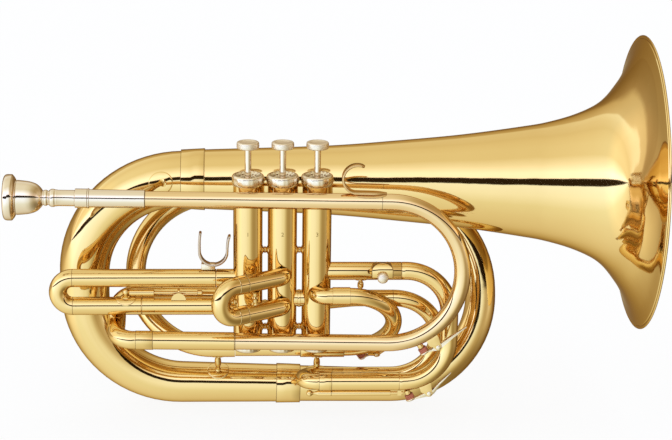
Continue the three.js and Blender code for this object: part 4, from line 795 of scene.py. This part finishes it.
TAIL_R = 85
rear_half = (low(0) - branch(0)).length / 2 - ARC_SLACK
front_half = (bottom(178.7) - branch(178.7)).length * 0.493
branch_left = -127.4 + rear_half * 1.1 + GAP
branch_right = 178.7 - front_half * 1.05
line = Path([low(-40.3), low(-127.4), branch(-127.4), branch(branch_left - GAP)], [rear_half] * 2)
cone("rear_bow_tube", "rear_bow", line, [(0, 7.9), (line.length, 9.3)])
cone("upper_branch_tube", "upper_branch", Path([branch(branch_left), branch(branch_right)]),
     [(0, 9.3), (branch_right - branch_left, 11.6)])
line = Path([branch(branch_right + GAP), branch(178.7), bottom(178.7), bottom(6.85)],
            [front_half, front_half * 0.95])
bow_end = line.length - (178.7 - front_half + 4)
cone("front_bow_tube", "front_bow", line, [(0, 11.6), (bow_end, 14.8), (line.length, 16)], 64)
tail = Path([bottom(6.55), bottom(-171.1), bell_line(-171.1), bell_line(-76.3)], [TAIL_R] * 2)
straight_in = 6.55 + 171.1 - TAIL_R
cone("tail_bow_tube", "tail_bow", tail, [
    (0, 16.5), (straight_in, 18.1), (straight_in + pi / 2 * TAIL_R + 9.3, 21.3),
    (tail.length, 24.5)], 72)

flare = [(25.1, -76), (25.7, -66)]
flare += [(r * 127, d * 311.4) for r, d in (
    (0.237, 0.141), (0.276, 0.329), (0.318, 0.5), (0.377, 0.67), (0.402, 0.729), (0.461, 0.814),
    (0.531, 0.876), (0.592, 0.907), (0.688, 0.939), (0.768, 0.961), (0.875, 0.982))]
flare += [(124.4, 310.0)]
flare = eased(flare, 8)
inner = []
for i, (r, d) in enumerate(flare):
    r0, d0 = flare[max(i - 1, 0)]
    r1, d1 = flare[min(i + 1, len(flare) - 1)]
    run = hypot(r1 - r0, d1 - d0)
    inner.append((r - 0.8 * (d1 - d0) / run, d + 0.8 * (r1 - r0) / run))
bead = [(126.0 + 1.68 * cos(t), 311.4 + 1.0 * sin(t))
        for t in (radians(a) for a in range(-130, 171, 20))]
piece("bell_shell", lathe(flare + bead + inner[::-1], bell_line(1) - bell_line(0),
                          bell_line(0), 160), BRASS, "horn", "bell")
for name, start, end, r0, r1 in (("bell", bell_line(-86.6), bell_line(-66), 24.5, 25.7),
                                 ("bottom", bottom(-4), bottom(17.4), 16.6, 16.1)):
    length = (end - start).length
    piece(f"{name}_joint_ring", lathe([
        (r0 + GAP, 0), (r0 + 0.8, 0.05), (r0 + 1.0, 0.5), (r1 + 1.0, length - 0.5),
        (r1 + 0.8, length - 0.05), (r1 + GAP, length)], end - start, start, 72),
        BRASS, "horn", f"{name}_ferrule")

# -------- camera, light and floor

def camera():
    az, el, roll = radians(-2.65), radians(16.8), radians(0.8)
    back = Vector((sin(az) * cos(el), -cos(az) * cos(el), sin(el)))
    target = Vector((45.1, 0, 38.2)) * MM
    right = (-back).cross(Z).normalized()
    up = right.cross(-back)
    side = right * cos(roll) + up * sin(roll)
    top = up * cos(roll) - right * sin(roll)
    data = bpy.data.cameras.new("view")
    data.sensor_width = 36
    data.lens = 36 * 1948 / 672
    data.clip_end = 50
    eye = linked("view", data)
    eye.matrix_world = Matrix.Translation(target + back * 1.64) @ Matrix(
        (side, top, back)).transposed().to_4x4()
    scene.camera = eye


def world():
    """White to the camera, even for matt things, and a studio of soft panels with one dark
    gap between them for polished metal."""
    sky = bpy.data.worlds.new("studio")
    scene.world = sky
    sky.use_nodes = True
    sky.cycles.sampling_method = "NONE"
    tree = sky.node_tree
    tree.nodes.clear()
    place = add(tree, "TexCoord").outputs["Generated"]
    apart = add(tree, "SeparateXYZ", [(0, place)]).outputs

    def calculate(operation, *sides):
        return add(tree, "Math", enumerate(sides), operation).outputs[0]

    def fit(value, low, high, to_low=0, to_high=1):
        """Maps a value from one range to another, and keeps it inside."""
        return add(tree, "MapRange", [("From Min", low), ("From Max", high), ("To Min", to_low),
                                      ("To Max", to_high), ("Value", value)]).outputs["Result"]

    def ramp(factor, stops, low, high):
        """A colour ramp: its stops lie between low and high."""
        node = add(tree, "ValToRGB", [("Fac", factor)])
        band = node.color_ramp.elements
        while len(band) < len(stops):
            band.new(0.5)
        for element, (stop, colour) in zip(band, stops):
            element.position = (stop - low) / (high - low)
            element.color = (*colour, 1)
        return node.outputs["Color"]

    toward = calculate("MULTIPLY", apart["Y"], -1)
    rise = calculate("ARCTAN2", apart["Z"], toward)
    lean = calculate("ADD", rise, fit(apart["X"], -0.16, 0, radians(7), 0))
    panels = ramp(fit(lean, -pi, pi), [
        (-180, (0.44, 0.35, 0.26)), (-150, (0.52, 0.43, 0.33)), (-125, (0.80, 0.74, 0.64)),
        (-100, (0.90, 0.88, 0.85)), (-60, (0.97, 1.0, 1.03)), (-30, (1.04, 1.14, 1.26)),
        (-6, (1.21, 1.40, 1.9)), (14.2, (1.25, 1.48, 2.2)), (15.4, (0.03, 0.02, 0.015)),
        (28.3, (0.03, 0.02, 0.015)), (29.6, (1.6, 1.7, 2.5)), (40, (1.6, 1.7, 2.5)),
        (56, (1.21, 1.30, 1.62)), (72, (1.0, 1.0, 1.0)), (93, (1.0, 1.0, 1.0)),
        (110, (0.97, 0.95, 0.92)), (120, (0.93, 0.90, 0.86)), (135, (1.0, 1.0, 1.05)),
        (147, (1.10, 1.16, 1.36)), (149.5, (0.84, 0.77, 0.71)), (165, (0.78, 0.70, 0.62)),
        (172, (0.48, 0.38, 0.29)), (180, (0.42, 0.33, 0.24))], -180, 180)
    sides = ramp(fit(apart["X"], -1, 1), [
        (-1, (1.12, 1.09, 0.88)), (-0.85, (1.19, 1.18, 0.97)), (-0.69, (1, 1.02, 0.845)),
        (-0.35, (0.951, 0.934, 0.73)), (-0.1, (0.889, 0.857, 0.64)),
        (0.1, (0.871, 0.831, 0.608)), (0.27, (0.765, 0.703, 0.461)),
        (0.45, (0.587, 0.48, 0.256)), (0.62, (0.462, 0.343, 0.154)),
        (0.8, (0.507, 0.377, 0.179)), (0.92, (0.685, 0.548, 0.32)), (1, (0.729, 0.6, 0.365))],
        -1, 1)
    both = add(tree, "Mix", [("Factor", 1), ("A", panels), ("B", sides)], blend="MULTIPLY")
    below = calculate("MULTIPLY", apart["X"], apart["Z"])
    low_right = calculate("MULTIPLY", below, calculate("GREATER_THAN", apart["X"], 0))
    studio = add(tree, "Background", [("Color", both.outputs["Result"]),
                                      ("Strength", fit(low_right, -0.08, -0.40, 1, 0.62))])
    even = add(tree, "Background", [("Color", (1, 1, 1, 1))])
    light = add(tree, "LightPath")
    mix = add(tree, "MixShader", [("Fac", light.outputs["Is Glossy Ray"]),
                                  (1, even.outputs[0]), (2, studio.outputs[0])])
    add(tree, "OutputWorld", [("Surface", mix.outputs[0])])


def floor():
    mesh = bpy.data.meshes.new("floor")
    z, r = -0.1475, 8.0
    mesh.from_pydata([(-r, -r, z), (r, -r, z), (r, r, z), (-r, r, z)], [], [(0, 1, 2, 3)])
    ground = linked("floor", mesh)
    mat = bpy.data.materials.new("floor_white")
    mat.use_nodes = True
    tree = mat.node_tree
    tree.nodes.clear()
    matt = add(tree, "BsdfDiffuse", [("Color", (0.9, 0.93, 1, 1))])
    glow = add(tree, "Emission")
    light = add(tree, "LightPath").outputs
    share = add(tree, "Math", [(1, 0.9), (0, light["Is Camera Ray"])], "MULTIPLY")
    mix = add(tree, "MixShader", [("Fac", share.outputs[0]), (1, matt.outputs[0]),
                                  (2, glow.outputs[0])])
    clear = add(tree, "BsdfTransparent")
    last = add(tree, "MixShader", [("Fac", light["Is Glossy Ray"]), (1, mix.outputs[0]),
                                   (2, clear.outputs[0])])
    add(tree, "OutputMaterial", [("Surface", last.outputs[0])])
    mesh.materials.append(mat)


# -------- plates, posts and braces

for side, x, near, far, radius in (("left", -55.3, 7.9, 17.6, 9.5),
                                   ("right", 31.6, 8.2, 15.9, 10.5)):
    a, b = low(x), bottom(x)
    way = (b - a).normalized()
    length = (b - a).length - near - far + 0.6
    piece(f"bottom_brace_{side}_post", [
        lathe(bulged(length, 2.0, 2.9, 3.6), way, a + way * (near - 0.3), 36),
        saddle_plate(Path([low(x - 20), low(x + 20)]), 20, way, near, 6.5, 0.8),
        saddle_plate(Path([bottom(x - 30), bottom(x + 30)]), 30, -way, far, radius, 0.9)],
        BRASS, "horn", f"bottom_brace_{side}")

top_end = tail.length - 10.2 - 15.6
foot = lead(-126)
plate = Vector((-102, 28.2, 62.5))
way = (plate - foot).normalized()
piece("receiver_brace_post", [
    lathe(bulged((plate - foot).length - 7.4, 2.2, 3.0, 4.2), way, foot + way * 7.3, 36),
    saddle_plate(tail, top_end, (0, -1, 0), 24.4, 9.7, 1.0, lean=radians(-11))],
    BRASS, "horn", "receiver_brace")

a, b = Vector((67, 0, THIRD_UP)), Vector((67, 9, REAR_UP))
way = (b - a).normalized()
piece("third_slide_post", [
    lathe(bulged((b - a).length - SLIDE_R - CROOK_R + 0.4, 1.7, 2.7, 3.2), way,
          a + way * (SLIDE_R - 0.2), 32),
    saddle_plate(Path([a - X * 20, a + X * 20]), 20, way, SLIDE_R, 5.5, 0.6),
    saddle_plate(Path([b - X * 5, b + X * 20]), 5, -way, CROOK_R, 5.0, 0.6)],
    BRASS, "horn")

# -------- finger hook and lyre holder

base = lead(61.4).z + LEAD_R + 0.9
curl = [(86, LEAD_Y, lead(86).z + LEAD_R + 0.3), (80, LEAD_Y, lead(80).z + LEAD_R + 0.6)]
curl += [(71, LEAD_Y, lead(71).z + LEAD_R + 0.8)]
curl += [(61.4 + 11.8 * cos(t), LEAD_Y, base + 11.8 + 11.8 * sin(t))
         for t in (-pi / 2 - tau * 0.58 * i / 30 for i in range(1, 31))]
curl = eased(curl, 2)
count = len(curl)
shape_of = [1.0 if i < count * 0.55 else 1.0 - 0.25 * (i / count - 0.55) / 0.45
            for i in range(count)]
shape_of[0], shape_of[1], shape_of[2] = 0.3, 0.6, 0.85
shape_of[-1], shape_of[-2], shape_of[-3] = 0.35, 0.55, 0.7
piece("finger_hook_strip", [
    ribbon(curl, 9, 2.0, taper=shape_of),
    saddle_plate(Path([lead(40), lead(100)]), 32, (0, -0.32, 1), LEAD_R, 4.0, 0.35, stretch=3.4)],
    HOOK, "horn", "finger_hook")

front = -SLIDE_R - 9
LYRE_X = 84.25


def at_lyre(part):
    return moved(part, Matrix.Translation((LYRE_X, 0, 0)))


def curved_plate(grow, depth):
    """The holder's front: an arch in outline, rounded like the tube behind it."""
    rings = []
    for i in range(25):
        z = -8.5 - grow + (12.5 + grow * 2) * i / 24
        lift = max(0.0, (z + 1.2) / (5.2 + grow))
        half = (8.75 + grow) * sqrt(max(1 - min(lift, 0.999) ** 2, 0.0))
        face = front + depth + 9.5 - sqrt(9.5 ** 2 - (z + 3.6) ** 2)
        rings.append([Vector((-half, face, z)), Vector((half, face, z)),
                      Vector((half, face + 1.8, z)), Vector((-half, face + 1.8, z))])
    return skin(rings, loop_ends=False)


walls = [curved_plate(0.0, 0.0)]
for side in (-1, 1):
    walls.append(slab([(side * 4.5, -8.6), (side * 8.75, -8.6), (side * 8.75, -1.2),
                       (side * 7.9, 1.2), (side * 4.5, 3.1)], front + 1.9, -4.2))
piece("lyre_holder_box", [at_lyre(part) for part in walls], BRASS, "horn", "lyre_holder",
      bevel=0.35)
# A dark plate a little larger than the front, set just behind it: its rim is a painted shadow
# round the holder's front.
piece("lyre_holder_shadow_rim", at_lyre(curved_plate(0.35, 0.5)), SEAM_SHADE, "horn")
ball = [(0, 0), (1.45, 0), (1.45, 2.25)] + eased([
    (2.6, 2.3), (3.8, 3.0), (4.6, 4.2), (4.8, 5.6), (4.5, 7.0), (3.6, 8.2), (2.2, 8.9)], 4)
ball += [(0.02, 9.1), (0, 9.1)]
piece("lyre_screw_ball", lathe(ball, -Y, (LYRE_X, front + 1.95, -6.5), 40), SATIN,
      "lyre_screw_body", "lyre_screw")

# -------- water keys

def key_frame(centre, out, reach, degrees):
    a = radians(degrees)
    outward = Vector(out) * cos(a) + X * sin(a)
    tailward = X * cos(a) - Vector(out) * sin(a)
    place = Matrix((tailward, outward.cross(tailward), outward)).transposed().to_4x4()
    return Matrix.Translation(Vector(centre) + outward * reach) @ place


def water_key(number, frame_of, body, points, carrier):
    cork_x, cork_z, pivot, tail_x, tail_z = points

    def put(name, parts, *rest, bevel=0.0):
        piece(f"water_key_{number}_{name}", [moved(part, frame_of) for part in parts], *rest,
              bevel=bevel)

    base, top = cork_z - 2.25, cork_z + 2.25
    ear = [(-5.6, -3), (-5.6, 0.6)] + [
        (-3.4 + 2.6 * cos(t), 2.2 + 2.6 * sin(t))
        for t in (radians(a) for a in (200, 170, 140, 110))]
    ear += [(2.9 * cos(t), pivot + 2.9 * sin(t))
            for t in (radians(a) for a in (190, 160, 130, 90, 50, 20, -10))]
    ear += [(4.4, 1.8), (5.0, 0.4), (5.0, -3)]
    seat = [slab(ear, 3.2, 4.4), slab(ear, -4.4, -3.2),
            slab([(-5.4, -3), (-5.4, 1.0), (4.8, 1.0), (4.8, -3)], -3.4, 3.4),
            rod((0, -4.1, pivot), (0, 4.1, pivot), 0.9, 20)]
    nipple = [(1.2, -2.5), (2.6, -2.5), (2.6, base - 0.5), (2.4, base - GAP), (1.2, base - GAP)]
    seat.append(lathe(nipple, Z, (cork_x, 0, 0), 28))
    put("seat", seat, BRASS, carrier, bevel=0.22)
    heads = [lathe([(0, 0), (2.1, 0), (2.1, 0.35), (1.7, 0.75), (0.9, 0.95), (0, 1.0)], Y * side,
                   (0, side * 4.38, pivot), 28) for side in (-1, 1)]
    put("screws", heads, SOFT, carrier)
    arm = [(cork_x - 1.5, top + 0.3), (cork_x + 3, top + 0.2), (cork_x + 6, pivot - 0.6),
           (-3.2, pivot - 1.4), (-1.5, pivot - 2.6), (1.2, pivot - 2.4), (3.4, pivot - 0.9),
           (tail_x * 0.5, (pivot + tail_z) / 2 - 1.0), (tail_x - 0.4, tail_z - 0.5),
           (tail_x, tail_z), (tail_x - 0.6, tail_z + 0.4),
           (tail_x * 0.5, (pivot + tail_z) / 2 + 1.1), (4.2, pivot + 2.2), (1.4, pivot + 2.9),
           (-2.0, pivot + 2.6), (cork_x + 6.5, pivot + 0.9), (cork_x + 3, top + 1.7),
           (cork_x - 1.5, top + 1.6)]
    lever = slab(arm, -1.0, 1.0)
    shaped = []
    for v in lever[0]:
        wide = 2.1 + max(0.0, 1.2 - abs(v.x) / 4)
        if v.x > 6:
            wide = 2.6 * (1 - 0.75 * ((v.x - 6) / (tail_x - 6)) ** 1.5)
        shaped.append(Vector((v.x, copysign(min(wide, 2.85), v.y), v.z)))
    cup = lathe([(0, 0), (3.9, 0), (4.35, 0.3), (4.4, 1.0), (3.9, 1.7), (2.4, 2.2), (0, 2.35)],
                Z, (cork_x, 0, top - 0.7), 36)
    hub = lathe([(0.96, -2.85), (2.5, -2.85), (2.5, 2.85), (0.96, 2.85)], Y, (0, 0, pivot), 28)
    put("lever", ((shaped, lever[1]), cup, hub), SOFT, body, f"water_key_{number}", bevel=0.25)
    pad = lathe([(0, 0), (3.5, 0), (3.75, 0.25), (3.8, 1.6), (3.75, 4.0), (0, 4.0)], Z,
                (cork_x, 0, base), 32)
    put("cork", (pad,), CORK, body)


water_key(1, key_frame((BOW_X - lead_bend, LEAD_Y, (LEAD_RIGHT + RETURN_RIGHT) / 2), (0, 0, -1),
                       lead_bend + LEAD_R, 34), "key_1_body", (-12.5, 4, 8.1, 29.6, 7.4), "horn")
water_key(2, key_frame((105.4, 0, -69.5), (0, 0, -1), 38 + SLIDE_R, 25), "key_2_body",
          (-16.8, 3.7, 7.2, 24.9, -1), "third_slide_body")
water_key(3, key_frame((outlet_top + outlet_low) / 2 - X * outlet_bend,
                       (outlet_low - outlet_top).normalized(), outlet_bend + CROOK_R, 31),
          "key_3_body", (-14, 3, 6, 20, 4), "horn")

piece("leadpipe_bow_tube", bow_tube, GOLD, "horn", "leadpipe_bow")
piece("third_slide_tube", third_tube, BRASS, "third_slide_body", "third_slide")
piece("outlet_crook_tube", outlet_tube, BRASS, "horn", "outlet_crook")

# -------- engraved numbers

def numeral(text, x, z):
    """A plain engraved number on the front of a casing."""
    letter = bpy.data.curves.new("numeral", "FONT")
    letter.body = text
    letter.size = 3.4 / 0.7
    letter.align_x = "CENTER"
    letter.extrude = 0.05
    maker = bpy.data.objects.new("numeral", letter)
    mesh = bpy.data.meshes.new_from_object(maker)
    work = bmesh.new()
    work.from_mesh(mesh)
    bmesh.ops.triangulate(work, faces=work.faces)
    verts = []
    for v in work.verts:
        a = v.co.x / CASING_R
        far = CASING_R + 0.03 + v.co.z * 0.5
        verts.append(Vector((x + far * sin(a), -far * cos(a), z + v.co.y)))
    faces = [tuple(v.index for v in face.verts) for face in work.faces]
    work.free()
    bpy.data.objects.remove(maker)
    return verts, faces


for number, x in enumerate(VALVE_X, 1):
    piece(f"casing_{number}_number", numeral(str(number), x, NUMBER_Z), ETCH, "horn")

# -------- seams: painted groove shade

def seams(name, body, *rows):
    """Fine dark lines round tubes, where one piece of tube meets the next, painted as the shade of
    the narrow groove there. A row says where, which way the tube runs and its radius."""
    half, sunk, proud = 0.21, 0.2, 0.025
    piece(name, [lathe([(radius - sunk, -half), (radius + proud, -half), (radius + proud, half),
                        (radius - sunk, half)], way, where, 64)
                 for where, way, radius in rows], SEAM_SHADE, body)


BACK = back_line(0) - back_line(1)
BOTTOM_WAY = bottom(1) - bottom(0)
seams("horn_seams", "horn",
      (bell_line(-86.2), X, 25.5), (bell_line(-66.4), X, 26.7),
      (bottom(-3.6), BOTTOM_WAY, 17.6), (bottom(17.0), BOTTOM_WAY, 17.1),
      (lead(-161.0), LEAD_WAY, 7.9), (lead(-159.7), LEAD_WAY, 7.9), (lead(-114), LEAD_WAY, 7.5),
      ((-118.6, 0, FIRST_LOW), X, SLIDE_R), (low(16.9), X, 8.15), (low(54.6), X, 8.15),
      ((100.9, 0, THIRD_UP), X, SLIDE_R), ((95.2, 9, REAR_UP), X, CROOK_R),
      ((42.5, -18, OUTLET_UP), X, CROOK_R + 0.55), ((57, -18, OUTLET_UP), X, CROOK_R + 0.55),
      ((43.1, 0, THIRD_LOW), X, 8.1), ((32.5, 0, THIRD_LOW), X, 8.05),
      ((101, 0, THIRD_LOW), X, 7.85), ((93.9, 0, rod_z), X, 2.45), ((32.4, 0, rod_z), X, 2.45),
      ((43, 0, rod_z), X, 2.48))
seams("tuning_slide_seams", "tuning_slide_body",
      (back_line(-40.4), BACK, SLIDE_R - 0.02), (back_line(-123.3), BACK, SLIDE_R + 0.33),
      (back_line(-109), BACK, SLIDE_R + 0.33))
seams("first_slide_seams", "first_slide_body",
      ((-177.1, 0, FIRST_UP), X, SLIDE_R), ((-177.1, 0, FIRST_LOW), X, SLIDE_R),
      ((-56.3, 0, FIRST_UP), X, SLIDE_R - 0.02))
seams("second_slide_seams", "second_slide_body",
      *((second(d, z), WAY2, SLIDE_R + 0.23) for z in (SECOND_UP, SECOND_LOW)
        for d in (36.9, 44.9)))

# -------- finish

camera()
world()
floor()
scene.view_settings.view_transform = "Standard"
